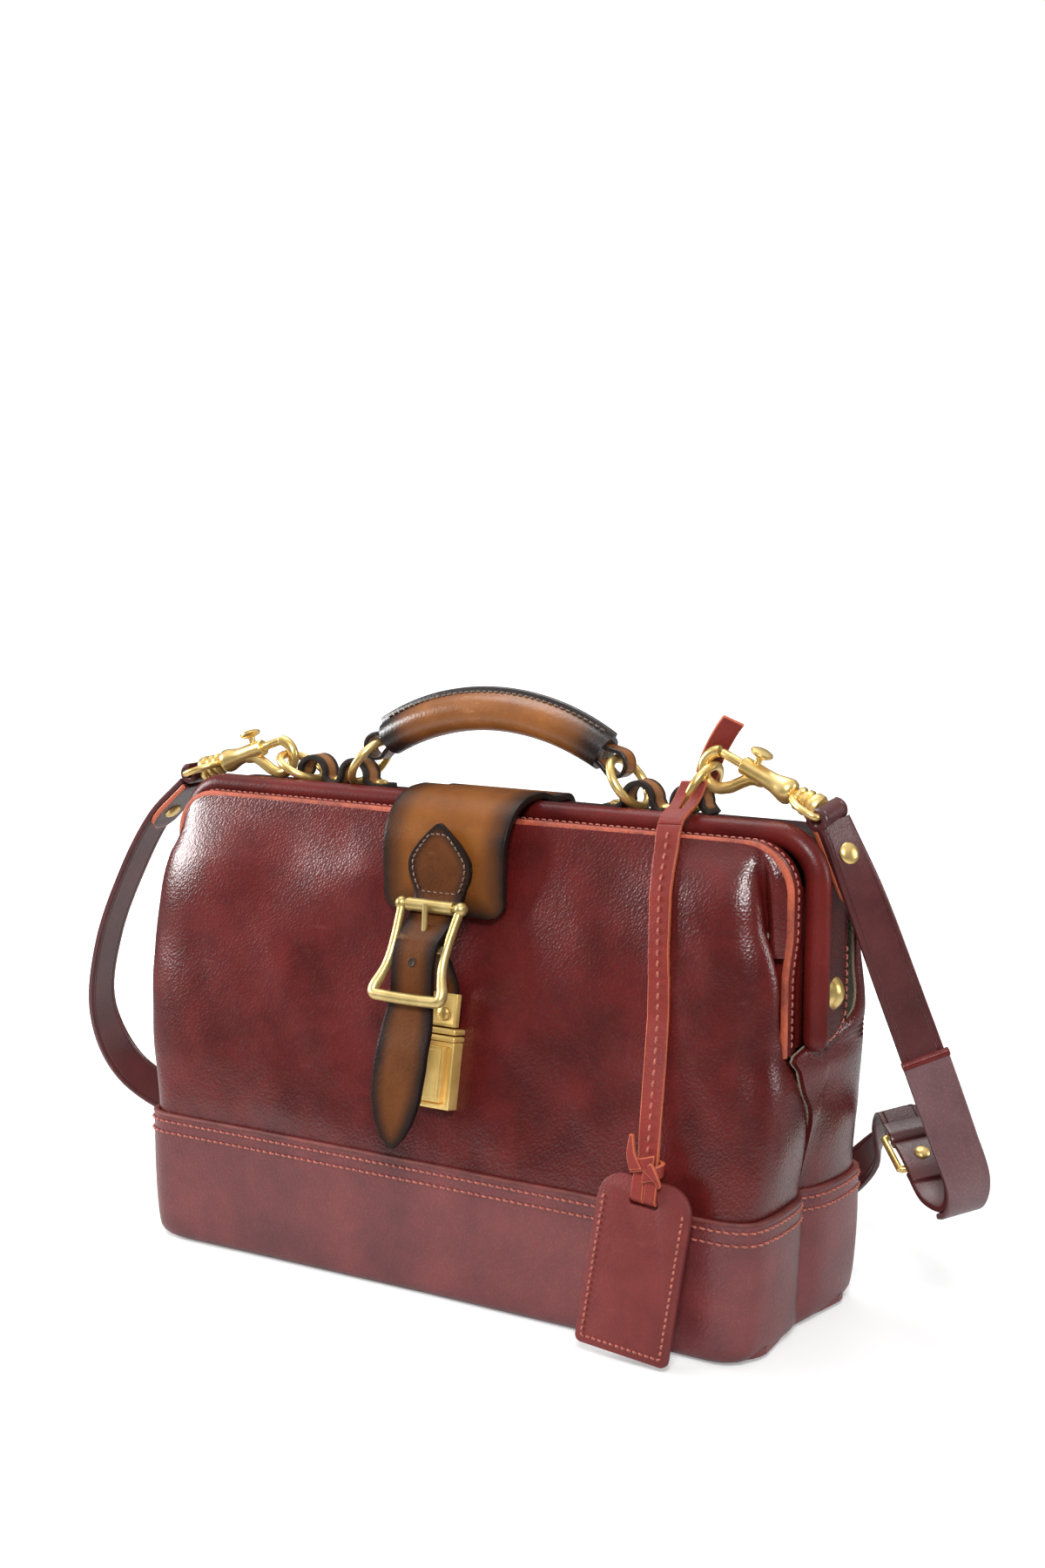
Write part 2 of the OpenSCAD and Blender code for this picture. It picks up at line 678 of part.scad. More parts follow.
// Ring straps, rings and handle
module ring_strap_face() {
    difference() {
        union() {
            translate([ring_strap_x0, strip_z])
                square([ring_strap_x1 - ring_strap_x0, ring_strap_t]);
            intersection() {
                for (x = [handle_tunnel_x, hook_tunnel_x])
                    translate([x, tunnel_z])
                        circle(hump_r);
                translate([ring_strap_x0, strip_z])
                    square([ring_strap_x1 - ring_strap_x0, 3 * hump_r]);
            }
        }
        for (x = [handle_tunnel_x, hook_tunnel_x])
            translate([x, tunnel_z])
                circle(tunnel_r);
    }
}

module ring_strap(side) {
    color("#4a2f22")
        difference() {
            mirror([side, 0, 0])
                translate([0, strap_line_y + ring_strap_w / 2, 0])
                    rotate([90, 0, 0])
                        linear_extrude(ring_strap_w)
                            ring_strap_face();
            screw_bores(screw_d);
        }
}

module right_ring_strap() {
    ring_strap(0);
}

module left_ring_strap() {
    ring_strap(1);
}

module ring_strap_screws() {
    color(brass)
        for (side = [-1, 1])
            for (x = screw_x)
                translate([side * x, strap_line_y, strip_z + ring_strap_t]) {
                    cylinder(d = screw_head_d, h = 1.6);
                    translate([0, 0, -screw_l])
                        cylinder(d = screw_d, h = screw_l);
                }
}

module ring_between(from, to) {
    span = to - from;
    translate([(from[0] + to[0]) / 2, strap_line_y, (from[1] + to[1]) / 2])
        rotate([0, -atan2(span[1], span[0]), 0])
            rotate_extrude()
                translate([norm(span) / 2, 0])
                    circle(d = ring_wire);
}

module handle_rings() {
    color(brass)
        for (side = [0, 1])
            mirror([side, 0, 0])
                ring_between([handle_tunnel_x, wire_z], handle_ring_top);
}

// Turned section along the grip's arc, drawn with the arc's radius as its x
module grip_sweep() {
    translate([0, strap_line_y, grip_z - grip_arc_r])
        rotate([90, 0, 0])
            rotate([0, 0, 90 - grip_half_angle])
                rotate_extrude(angle = 2 * grip_half_angle, $fn = 96)
                    children();
}

module handle_core() {
    color("#c9b48a")
        grip_sweep()
            translate([grip_arc_r, 0])
                circle(d = core_d);
}

module handle_grip() {
    color(tan)
        grip_sweep()
            difference() {
                union() {
                    translate([grip_arc_r, 0])
                        circle(d = grip_d);
                    translate([grip_arc_r, -1.5])
                        square([grip_d / 2 + fin_h, 3]);
                }
                translate([grip_arc_r, 0])
                    circle(d = core_d + 2 * skin_gap);
            }
}

module handle_loops() {
    color("#a06a3a")
        for (side = [0, 1])
            mirror([side, 0, 0])
                translate([loop_at[0], strap_line_y, loop_at[1]])
                    rotate([0, grip_half_angle, 0])
                        difference() {
                            union() {
                                rotate([90, 0, 0])
                                    cylinder(r = loop_out_r, h = loop_w, center = true);
                                translate([seat_gap - loop_reach, -loop_w / 2, -2.5])
                                    cube([loop_reach - seat_gap, loop_w, 5]);
                            }
                            rotate([90, 0, 0])
                                cylinder(r = loop_in_r, h = loop_w + 1, center = true);
                        }
}

// Snap hooks: pieces are drawn along the hook's own axis and placed in their ring
module hook_place(k) {
    mirror([k, 0, 0])
        translate([hook_at(k)[0], strap_line_y, hook_at(k)[1]])
            rotate([0, hook_slope[k], 0])
                children();
}

module strap_ring_piece(k) {
    color(brass)
        mirror([k, 0, 0])
            ring_between([hook_tunnel_x, wire_z], ring_far(k));
}

module along_barrel(from, to, d) {
    translate([from, 0, bolt_z])
        rotate([0, 90, 0])
            cylinder(d = d, h = to - from);
}

module hook_body(k) {
    color(brass)
        hook_place(k)
            difference() {
                union() {
                    rotate([90, 0, 0])
                        rotate([0, 0, 115])
                            rotate_extrude(angle = 235)
                                translate([loop_mid_r, 0])
                                    circle(d = hook_bar_d);
                    rod([loop_mid_r * cos(10), 0, -loop_mid_r * sin(10)], [barrel_x0 + 3, 0, bolt_z - 2],
                        hook_bar_d);
                    along_barrel(barrel_x0, barrel_x1, barrel_d);
                }
                along_barrel(barrel_x0 - 1, bolt_bore_end, bolt_d + 2 * running_gap);
                along_barrel(shank_x0, barrel_x1 + 1, shank_d + 2 * running_gap);
                translate([knob_x - knob_stem_d / 2 - 0.4, -knob_stem_d / 2 - 0.2, bolt_z])
                    cube([bolt_travel + knob_stem_d + 0.8, knob_stem_d + 0.4, barrel_d]);
            }
}

module hook_bolt(k) {
    color(brass)
        hook_place(k) {
            along_barrel(bolt_tip_x, bolt_end_x, bolt_d);
            translate([knob_x, 0, bolt_z])
                cylinder(d = knob_stem_d, h = barrel_d / 2 + 2);
            translate([knob_x, 0, bolt_z + barrel_d / 2 + 1.5])
                cylinder(d = knob_d, h = 2.2);
        }
}

module hook_eye(k) {
    color(brass)
        hook_place(k) {
            along_barrel(shank_x0 + skin_gap, barrel_x1 + seat_gap, shank_d);
            along_barrel(barrel_x1 + seat_gap, barrel_x1 + 2.5, 7.6);
            along_barrel(barrel_x1 + 2.5, barrel_x1 + 3.7, 5);
            along_barrel(barrel_x1 + 3.7, barrel_x1 + 6, 9.6);
            along_barrel(barrel_x1 + 6, eye_x - eye_half + eye_wire / 2, 7.6);
            translate([eye_x, 0, bolt_z])
                rotate([0, 0, 90])
                    rotate_extrude(angle = 180)
                        translate([eye_half, 0])
                            circle(d = eye_wire);
            for (y = [-eye_half, eye_half]) {
                translate([0, y, 0])
                    along_barrel(eye_x, eye_bar_x, eye_wire);
                translate([eye_bar_x, y, bolt_z])
                    sphere(d = eye_wire);
            }
            rod([eye_bar_x, -eye_half, bolt_z], [eye_bar_x, eye_half, bolt_z], eye_wire);
        }
}

module right_strap_ring() {
    strap_ring_piece(0);
}

module left_strap_ring() {
    strap_ring_piece(1);
}

module right_hook_body() {
    hook_body(0);
}

module left_hook_body() {
    hook_body(1);
}

module right_hook_bolt() {
    hook_bolt(0);
}

module left_hook_bolt() {
    hook_bolt(1);
}

module right_hook_eye() {
    hook_eye(0);
}

module left_hook_eye() {
    hook_eye(1);
}

// Flap and closure
module front_view(y0, y1) {
    translate([0, y1, 0])
        rotate([90, 0, 0])
            linear_extrude(y1 - y0)
                children();
}

module flap_crown() {
    tail_z = cover_top - flap_tail;
    low_z = cover_top + seat_gap + flap_t / 2 + 0.1;
    turn_y = back_depth(low_z - flap_back_r) - panel_inset + seat_gap + flap_t / 2;
    tail_y = back_depth(tail_z) - panel_inset + seat_gap + flap_t / 2;
    turn_at = [turn_y - flap_back_r, low_z - flap_back_r];
    line = concat([[flap_cut_y, crown_z], [roll_y + crown_flat, crown_z], [roll_y + crown_fall, low_z]],
        arc_points(turn_at, flap_back_r, 90, 0, 6), [[tail_y, tail_z]]);
    color(tan)
        side_band(line, flap_t, flap_w);
}

module flap_front() {
    line = concat(arc_points(flap_centre, flap_arc_r, 90, 180, 12), [[flap_hang_y, flap_bottom]]);
    color(tan)
        intersection() {
            side_band(line, flap_t, flap_w);
            front_view(flap_hang_y - flap_t, flap_cut_y - flap_slit) {
                translate([-flap_w / 2, flap_bottom + flap_edge_r])
                    square([flap_w, frame_top]);
                translate([flap_edge_r - flap_w / 2, flap_bottom])
                    square([flap_w - 2 * flap_edge_r, frame_top]);
                for (side = [-1, 1])
                    translate([side * (flap_w / 2 - flap_edge_r), flap_bottom + flap_edge_r])
                        circle(flap_edge_r);
            }
        }
}

module closure_strap() {
    side = closure_w / 2;
    point_z = closure_tip_z + closure_point;
    patch_half = side + patch_spread;
    shoulder = patch_half - closure_taper;
    color("#6e3f1f")
        difference() {
            union() {
                intersection() {
                    side_band(closure_line, closure_t, closure_w);
                    front_view(keeper_at[0] - closure_drop, 0)
                        polygon([[-side, flap_bottom + patch_wide], [side, flap_bottom + patch_wide],
                                 [side, keeper_at[1]], [side - closure_taper, point_z],
                                 [closure_tip_half, closure_tip_z], [-closure_tip_half, closure_tip_z],
                                 [closure_taper - side, point_z], [-side, keeper_at[1]]]);
                }
                front_view(patch_y - closure_t / 2, patch_y + closure_t / 2)
                    polygon([[-side, flap_bottom + patch_foot], [side, flap_bottom + patch_foot],
                             [patch_half, flap_bottom + patch_wide], [shoulder, flap_bottom + patch_shoulder],
                             [0, flap_bottom + patch_top],
                             [-shoulder, flap_bottom + patch_shoulder],
                             [-patch_half, flap_bottom + patch_wide]]);
            }
            prong_slot();
        }
}

// Slot that the prong swings through, from its rest on the roller to its farthest forward
module prong_slot() {
    spare_turn = 10;
    apex = -12 * [cos(prong_rest + prong_swing / 2), sin(prong_rest + prong_swing / 2)];
    half_gap = prong_d / 2 + 1;
    translate([-half_gap, middle_at[0], middle_at[1]])
        rotate([90, 0, 90])
            linear_extrude(2 * half_gap)
                polygon(concat([apex], arc_points([0, 0], prong_l + 2, prong_rest - spare_turn,
                                                  prong_rest + prong_swing + spare_turn, 9)));
}

module cross_bar(at, half, d) {
    rod([-half, at[0], at[1]], [half, at[0], at[1]], d);
}

module buckle_frame() {
    side_at_middle = roller_half + middle_share * (keeper_half - roller_half);
    color(brass) {
        cross_bar(roller_at, roller_half, buckle_bar_d);
        cross_bar(keeper_at, keeper_half, keeper_bar_d);
        cross_bar(middle_at, side_at_middle, buckle_bar_d);
        for (side = [-1, 1]) {
            rod([side * roller_half, roller_at[0], roller_at[1]],
                [side * keeper_half, keeper_at[0], keeper_at[1]], buckle_bar_d);
            translate([side * roller_half, roller_at[0], roller_at[1]])
                sphere(d = roller_d);
            translate([side * keeper_half, keeper_at[0], keeper_at[1]])
                sphere(d = keeper_bar_d);
        }
    }
}

module buckle_roller() {
    half = roller_half - roller_d / 2 - seat_gap;
    color(brass)
        difference() {
            cross_bar(roller_at, half, roller_d);
            cross_bar(roller_at, half + 1, buckle_bar_d + 2 * running_gap);
        }
}

module buckle_prong() {
    color(brass)
        difference() {
            union() {
                cross_bar(middle_at, prong_eye_w / 2, prong_eye_d);
                rod([0, middle_at[0], middle_at[1]], [0, prong_tip[0], prong_tip[1]], prong_d);
            }
            cross_bar(middle_at, prong_eye_w, buckle_bar_d + 2 * running_gap);
        }
}

module buckle_leg() {
    start = middle_at + (leg_in / 2 + leg_t / 2) * buckle_back;
    bend = lock_place(leg_y, lock_h / 2 + clip_h + 3);
    end = lock_place(leg_y, lock_h / 2 + 3);
    color("#5a3018")
        difference() {
            union() {
                cross_bar(middle_at, leg_w / 2, 2 * leg_loop_r);
                side_band([start, bend, end], leg_t, leg_w);
            }
            cross_bar(middle_at, leg_w, leg_in);
            translate([-prong_eye_w / 2 - seat_gap, middle_at[0] - 8, middle_at[1] - 7])
                cube([prong_eye_w + 2 * seat_gap, 16, 14]);
            rivet_bore();
        }
}

// Lock: pieces are drawn in the panel's tilted plane, with z along the panel and y out of it
module lock_frame() {
    translate([0, lock_y, lock_z])
        rotate([-lock_tilt, 0, 0])
            children();
}

module rivet_bore() {
    lock_frame()
        translate([0, clip_y + 10, clip_rivet_z])
            rotate([90, 0, 0])
                cylinder(d = clip_rivet_d, h = 20);
}

module clasp_clip() {
    color(brass)
        difference() {
            lock_frame()
                difference() {
                    translate([-lock_w / 2 + 2, clip_y - clip_t / 2, lock_h / 2 + seat_gap])
                        cube([lock_w - 4, clip_t, clip_h]);
                    for (side = [-1, 1])
                        translate([side * 9 - 2.5, clip_y - clip_t, lock_h / 2 + clip_h / 2 - 3])
                            cube([5, 2 * clip_t, 6]);
                }
            rivet_bore();
        }
}

module clip_rivet() {
    back_y = leg_y + leg_t / 2 + 0.6;
    color(brass)
        lock_frame()
            translate([0, 0, clip_rivet_z])
                rotate([90, 0, 0]) {
                    translate([0, 0, -back_y])
                        cylinder(d = clip_rivet_d, h = back_y - clip_y + clip_t / 2);
                    translate([0, 0, clip_t / 2 - clip_y])
                        cylinder(d = 6, h = 1.4);
                }
}

module lock_box() {
    color(brass)
        lock_frame()
            difference() {
                union() {
                    translate([-lock_w / 2, -lock_d, -lock_h / 2])
                        cube([lock_w, lock_d, lock_h]);
                    for (z = [lock_h / 2 - 2.6, lock_h / 2 - 6])
                        translate([-lock_w / 2 - 1, -lock_d - 1, z])
                            cube([lock_w + 2, lock_d, 2.2]);
                }
                translate([-press_w / 2 - running_gap, press_front, press_edge - running_gap])
                    cube([press_w + 2 * running_gap, press_t + press_travel + seat_gap,
                          press_h + 2 * running_gap]);
                lock_rivet_bores();
            }
}

module lock_rivet_bores() {
    for (side = [-1, 1])
        for (z = lock_rivet_z)
            translate([side * lock_rivet_x, 1, z])
                rotate([90, 0, 0])
                    cylinder(d = lock_rivet_d, h = lock_d + 2);
}

module lock_press_plate() {
    color("#9c7a30")
        lock_frame()
            translate([-press_w / 2, press_front, press_edge])
                cube([press_w, press_t, press_h]);
}

module lock_rivets() {
    color(brass)
        lock_frame()
            for (side = [-1, 1])
                for (z = lock_rivet_z)
                    translate([side * lock_rivet_x, 0, z])
                        rotate([90, 0, 0]) {
                            cylinder(d = lock_rivet_d, h = lock_d);
                            translate([0, 0, lock_d])
                                cylinder(d = 4, h = 1);
                        }
}

// Shoulder strap and tag
module strap_loop(k) {
    mirror([k, 0, 0])
        translate([eye_bar_at(k)[0], strap_line_y, eye_bar_at(k)[1]])
            rotate([90, 0, 0])
                difference() {
                    cylinder(r = strap_loop_r + strap_t, h = strap_w, center = true);
                    cylinder(r = strap_loop_r, h = strap_w + 1, center = true);
                }
}

module shoulder_strap_long() {
    color("#3d1214") {
        flat_strap(long_route, strap_w, strap_t);
        strap_loop(1);
    }
}

module shoulder_strap_short() {
    color("#3d1214") {
        flat_strap(short_route, strap_w, strap_t);
        strap_loop(0);
    }
}

module strap_rivets() {
    color(brass)
        for (k = [0, 1]) {
            route = [short_route, long_route][k];
            a = place_of(route, 0);
            b = place_of(route, 1);
            dir = (b - a) / norm(b - a);
            out = cross(dir, [0, (k == 0 ? -1 : 1), 0]);
            middle = a + 0.6 * (b - a);
            rod(middle + out * (strap_t / 2 + 0.2), middle + out * (strap_t / 2 + 2), 7);
        }
}

module strap_buckle() {
    half = strap_w / 2 + 1 + strap_buckle_wire / 2;
    up = cross(short_dir, short_across);
    color(brass)
        multmatrix([for (k = [0 : 2]) [short_dir[k], short_across[k], up[k], strap_buckle_at[k]]]) {
            for (x = [0, strap_buckle_l / 2, strap_buckle_l])
                rod([x, -half, 0], [x, half, 0], strap_buckle_wire);
            for (y = [-half, half]) {
                rod([0, y, 0], [strap_buckle_l, y, 0], strap_buckle_wire);
                for (x = [0, strap_buckle_l])
                    translate([x, y, 0])
                        sphere(d = strap_buckle_wire);
            }
        }
}

module tag_strap() {
    color("#7a2420")
        flat_strap(tag_route, tag_strap_w, tag_strap_t);
}

module tag_plate() {
    shoulder = 12;
    slot_w = tag_strap_w + 3;
    color("#6b2021")
        translate(tag_top)
            rotate([-tag_lean, tag_roll, 0])
                translate([0, tag_t / 2, 0])
                    rotate([90, 0, 0])
                        linear_extrude(tag_t)
                            difference() {
                                union() {
                                    translate([-tag_w / 2, -tag_h])
                                        square([tag_w, tag_h - shoulder]);
                                    translate([shoulder - tag_w / 2, -tag_h])
                                        square([tag_w - 2 * shoulder, tag_h]);
                                    for (side = [-1, 1])
                                        translate([side * (tag_w / 2 - shoulder), -shoulder])
                                            circle(shoulder);
                                }
                                translate([-slot_w / 2, -8])
                                    square([slot_w, 3]);
                            }
}

base_panel();
base_board();
base_band();
front_panel();
front_panel_top();
back_panel();
lining();
back_frame();
back_frame_cover();
frame_roll();
hinge_pins();
front_frame();
front_binding();
left_ring_strap();
right_ring_strap();
ring_strap_screws();
handle_rings();
handle_core();
handle_grip();
handle_loops();
left_strap_ring();
right_strap_ring();
left_hook_body();
right_hook_body();
left_hook_bolt();
right_hook_bolt();
left_hook_eye();
right_hook_eye();
flap_crown();
flap_front();
closure_strap();
buckle_frame();
buckle_roller();
buckle_prong();
buckle_leg();
clasp_clip();
clip_rivet();
lock_box();
lock_press_plate();
lock_rivets();
shoulder_strap_long();
shoulder_strap_short();
strap_rivets();
strap_buckle();
tag_strap();
tag_plate();
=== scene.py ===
import bpy
import json
import math
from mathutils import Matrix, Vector, noise


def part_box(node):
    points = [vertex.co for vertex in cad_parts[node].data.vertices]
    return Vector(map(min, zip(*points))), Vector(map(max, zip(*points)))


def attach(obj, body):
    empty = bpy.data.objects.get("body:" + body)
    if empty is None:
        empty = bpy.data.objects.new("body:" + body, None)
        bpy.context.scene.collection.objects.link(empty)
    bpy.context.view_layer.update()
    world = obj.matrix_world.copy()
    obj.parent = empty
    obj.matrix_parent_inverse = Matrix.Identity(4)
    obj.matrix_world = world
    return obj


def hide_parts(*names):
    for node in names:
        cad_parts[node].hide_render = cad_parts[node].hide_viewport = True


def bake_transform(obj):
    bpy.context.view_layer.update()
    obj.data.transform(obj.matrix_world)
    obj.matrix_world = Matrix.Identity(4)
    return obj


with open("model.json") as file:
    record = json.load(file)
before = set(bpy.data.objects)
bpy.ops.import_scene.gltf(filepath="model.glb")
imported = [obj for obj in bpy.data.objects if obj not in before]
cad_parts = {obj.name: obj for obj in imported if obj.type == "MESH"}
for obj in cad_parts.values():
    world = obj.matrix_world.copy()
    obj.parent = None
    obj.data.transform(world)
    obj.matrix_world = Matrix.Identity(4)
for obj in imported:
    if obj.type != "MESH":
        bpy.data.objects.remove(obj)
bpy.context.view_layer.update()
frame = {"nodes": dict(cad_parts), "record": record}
nodes = frame["nodes"]
mm = 0.001
xWay, yWay, zWay = Vector((1, 0, 0)), Vector((0, 1, 0)), Vector((0, 0, 1))
bagEnds = {"right": 1, "left": -1}               # the bag's two ends and their sign along x
print("frame loaded:", len(nodes), "nodes")


# small helpers: selecting, lines, meshes, modifiers

def deselectAll():
    if bpy.context.object and bpy.context.object.mode != "OBJECT":
        bpy.ops.object.mode_set(mode="OBJECT")
    bpy.ops.object.select_all(action="DESELECT")


def pick(piece):
    deselectAll()
    piece.select_set(True)
    bpy.context.view_layer.objects.active = piece


def editAll(piece):
    pick(piece)
    bpy.ops.object.mode_set(mode="EDIT")
    bpy.ops.mesh.select_all(action="SELECT")


def share(value):                                # kept between 0 and 1
    return min(max(value, 0), 1)


def spotOn(radius, degrees):
    return radius * math.cos(math.radians(degrees)), radius * math.sin(math.radians(degrees))


def facingTurn(way):                             # degrees that turn the z axis into this direction
    return [math.degrees(t) for t in way.to_track_quat("Z", "Y").to_euler()]


def curveAt(keys, values, t):
    i = 0
    while i < len(keys) - 2 and t > keys[i + 1]:
        i += 1
    gap = keys[i + 1] - keys[i]

    def slope(k):
        a, b = max(k - 1, 0), min(k + 1, len(keys) - 1)
        return (values[b] - values[a]) * (1 / (keys[b] - keys[a]))
    q = share((t - keys[i]) / gap)
    q2, q3 = q * q, q * q * q
    return (values[i] * (2 * q3 - 3 * q2 + 1) + slope(i) * (gap * (q3 - 2 * q2 + q))
            + values[i + 1] * (3 * q2 - 2 * q3) + slope(i + 1) * (gap * (q3 - q2)))


def lengths(points):
    keys = [0.0]
    for a, b in zip(points, points[1:]):
        keys.append(keys[-1] + max((Vector(b) - Vector(a)).length, 1e-6))
    return keys


def smoothRun(points, count):                    # even steps along a curve through the points
    points = [Vector(p) for p in points]
    keys = lengths(points)
    rough = [curveAt(keys, points, keys[-1] * i / (4 * count)) for i in range(4 * count + 1)]
    keys = lengths(rough)
    return [curveAt(keys, rough, keys[-1] * i / (count - 1)) for i in range(count)]


def newMesh(name, points, faces):
    mesh = bpy.data.meshes.new(name)
    mesh.from_pydata([Vector(p) * mm for p in points], [], faces)
    mesh.update()
    piece = bpy.data.objects.new(name, mesh)
    bpy.context.scene.collection.objects.link(piece)
    return piece


def modify(piece, kind, **settings):
    pick(piece)
    step = piece.modifiers.new(kind.lower(), kind)
    for key, value in settings.items():
        setattr(step, key, value)
    bpy.ops.object.modifier_apply(modifier=step.name)


def roundEdges(piece, width, segments=3, angle=30):
    modify(piece, "BEVEL", width=width * mm, segments=segments, limit_method="ANGLE",
           angle_limit=math.radians(angle))


def smooth(piece, angle=40):
    pick(piece)
    bpy.ops.object.shade_smooth_by_angle(angle=math.radians(angle))


def outward(piece):
    editAll(piece)
    bpy.ops.mesh.normals_make_consistent(inside=False)
    bpy.ops.object.mode_set(mode="OBJECT")


def gridFaces(rows, columns, closed=False):
    last = columns if closed else columns - 1
    return [(i * columns + j, i * columns + (j + 1) % columns,
             (i + 1) * columns + (j + 1) % columns, (i + 1) * columns + j)
            for i in range(rows - 1) for j in range(last)]


def sweep(name, path, sides, ups, section):
    points = []
    for p, s, u in zip(path, sides, ups):
        points += [Vector(p) + Vector(s) * a + Vector(u) * b for a, b in section]
    count = len(section)
    faces = gridFaces(len(path), count, closed=True)
    faces += [tuple(range(count))[::-1], tuple(range(len(points) - count, len(points)))]
    piece = newMesh(name, points, faces)
    outward(piece)
    return piece


def setAttribute(piece, name, values):
    spot = piece.data.attributes.new(name, "FLOAT", "POINT")
    spot.data.foreach_set("value", values)


stitchRings = ((-1, 0.35, -0.9), (-0.62, 0.95, 0.25), (0, 1, 0.45), (0.62, 0.95, 0.25), (1, 0.35, -0.9))
stitchSides = 6


def stitchRun(name, path, normals, look):        # a row of short threads that dip into the leather
    path = [Vector(p) for p in path]
    keys = lengths(path)
    count = max(int(keys[-1] / look["pitch"]), 1)
    half, r = look["length"] / 2, look["thick"] / 2
    walls = gridFaces(len(stitchRings), stitchSides, closed=True)
    points, faces = [], []
    for k in range(count):
        mid = keys[-1] * (k + 0.5) / count
        a = curveAt(keys, path, mid - 0.4)
        b = curveAt(keys, path, mid + 0.4)
        n = curveAt(keys, normals, mid).normalized()
        along = (b - a).normalized()
        across = along.cross(n).normalized()
        along = (along + across * look.get("slant", 0)).normalized()
        across = along.cross(n).normalized()
        start = len(points)
        for pos, size, lift in stitchRings:
            middle = (a + b) / 2 + along * (half * pos) + n * (r * lift)
            for q in range(stitchSides):
                w = math.tau * q / stitchSides
                points.append(middle + across * (r * size * math.cos(w)) + n * (r * size * math.sin(w)))
        faces += [tuple(start + v for v in wall) for wall in walls]
        faces.append(tuple(start + q for q in reversed(range(stitchSides))))
        faces.append(tuple(range(len(points) - stitchSides, len(points))))
    piece = newMesh(name, points, faces)
    outward(piece)
    smooth(piece, 60)
    return piece


def bentBar(name, points, radius, closed=False, swell=None):
    deselectAll()
    data = bpy.data.curves.new(name, "CURVE")
    data.dimensions = "3D"
    data.bevel_depth = radius * mm
    data.bevel_resolution = 4
    data.use_fill_caps = True
    run = data.splines.new("POLY")
    run.points.add(len(points) - 1)
    for k, p in enumerate(points):
        run.points[k].co = (*(Vector(p) * mm), 1)
        run.points[k].radius = swell[k] if swell else 1
    run.use_cyclic_u = closed
    piece = bpy.data.objects.new(name, data)
    bpy.context.scene.collection.objects.link(piece)
    pick(piece)
    bpy.ops.object.convert(target="MESH")
    piece = bpy.context.object
    outward(piece)
    return piece


def turned(name, steps, sides=28, axis="X"):     # lathe shape from (place, radius) steps along the axis
    deselectAll()
    at, radius = steps[0]
    lie, way = {"X": ((0, math.pi / 2, 0), xWay), "Z": ((0, 0, 0), zWay)}[axis]
    bpy.ops.mesh.primitive_circle_add(vertices=sides, radius=radius * mm, fill_type="NGON",
                                      location=way * at * mm, rotation=lie)
    piece = bpy.context.object
    piece.name = name
    bpy.ops.object.transform_apply(location=True, rotation=True, scale=True)
    editAll(piece)
    for nextAt, nextRadius in steps[1:]:
        bpy.ops.mesh.extrude_region_move(TRANSFORM_OT_translate={"value": way * (nextAt - at) * mm})
        grow = nextRadius / radius
        bpy.ops.transform.resize(value=tuple(1 if w else grow for w in way),
                                 center_override=way * nextAt * mm)
        at, radius = nextAt, nextRadius
    bpy.ops.object.mode_set(mode="OBJECT")
    outward(piece)
    return piece


def join(name, pieces):
    deselectAll()
    for piece in pieces:
        piece.select_set(True)
    bpy.context.view_layer.objects.active = pieces[0]
    bpy.ops.object.join()
    joined = bpy.context.object
    joined.name = name
    return joined


def stand(piece, place, turn=(0, 0, 0)):
    pick(piece)
    piece.location = Vector(place) * mm
    piece.rotation_euler = [math.radians(t) for t in turn]
    bpy.ops.object.transform_apply(location=True, rotation=True, scale=True)
    return piece


def block(name, low, high, bevel=0.0):
    deselectAll()
    low, high = Vector(low), Vector(high)
    bpy.ops.mesh.primitive_cube_add(size=1, location=(low + high) / 2 * mm, scale=(high - low) * mm)
    piece = bpy.context.object
    piece.name = name
    bpy.ops.object.transform_apply(location=True, rotation=True, scale=True)
    if bevel:
        roundEdges(piece, bevel)
    return piece


def ribbon(name, path, side, half, thick, reach, across=13, ends=(True, True), bevel=0.5):
    # leather band along a path; its edge attribute grows from 0 to 1 within reach of the border
    keys = lengths(path)
    total = keys[-1]
    sides = [side] * len(path) if isinstance(side, Vector) else side
    points, edge = [], []
    for i, p in enumerate(path):
        w = half(keys[i], total) if callable(half) else half
        for j in range(across):
            x = -w + 2 * w * j / (across - 1)
            points.append(Vector(p) + Vector(sides[i]) * x)
            inside = w - abs(x)
            if ends[0]:
                inside = min(inside, keys[i])
            if ends[1]:
                inside = min(inside, total - keys[i])
            edge.append(max(0.0, 1 - max(inside, 0) / reach))
    piece = newMesh(name, points, gridFaces(len(path), across))
    setAttribute(piece, "edge", edge)
    modify(piece, "SOLIDIFY", thickness=thick * mm, offset=0)
    outward(piece)
    roundEdges(piece, bevel, segments=2, angle=50)
    smooth(piece, 50)
    return piece


def archPath(half, top, corner, foot, step=3.0, cornerSteps=14):
    # inverted U with round corners, from its right foot to its left, and the directions that point out of it
    line, out = [], []
    rise = max(int((top - corner - foot) / step), 2)
    for i in range(rise):
        line.append(Vector((half, 0, foot + (top - corner - foot) * i / rise)))
        out.append(xWay)
    for i in range(cornerSteps):
        q = math.pi / 2 * i / cornerSteps
        line.append(Vector((half - corner + corner * math.cos(q), 0, top - corner + corner * math.sin(q))))
        out.append(Vector((math.cos(q), 0, math.sin(q))))
    flat = max(int((half - corner) / step), 2) // 2
    for i in range(flat + 1):
        line.append(Vector(((half - corner) * (1 - i / flat), 0, top)))
        out.append(zWay)
    return [side + [Vector((-p.x, 0, p.z)) for p in reversed(side[:-1])] for side in (line, out)]


def rippled(x, y, z, amount=0.35, size=30):
    return amount * noise.noise(Vector((x / size, y / size, z / size)))


# materials: a wrapped socket that takes plain arithmetic, and one finish per surface

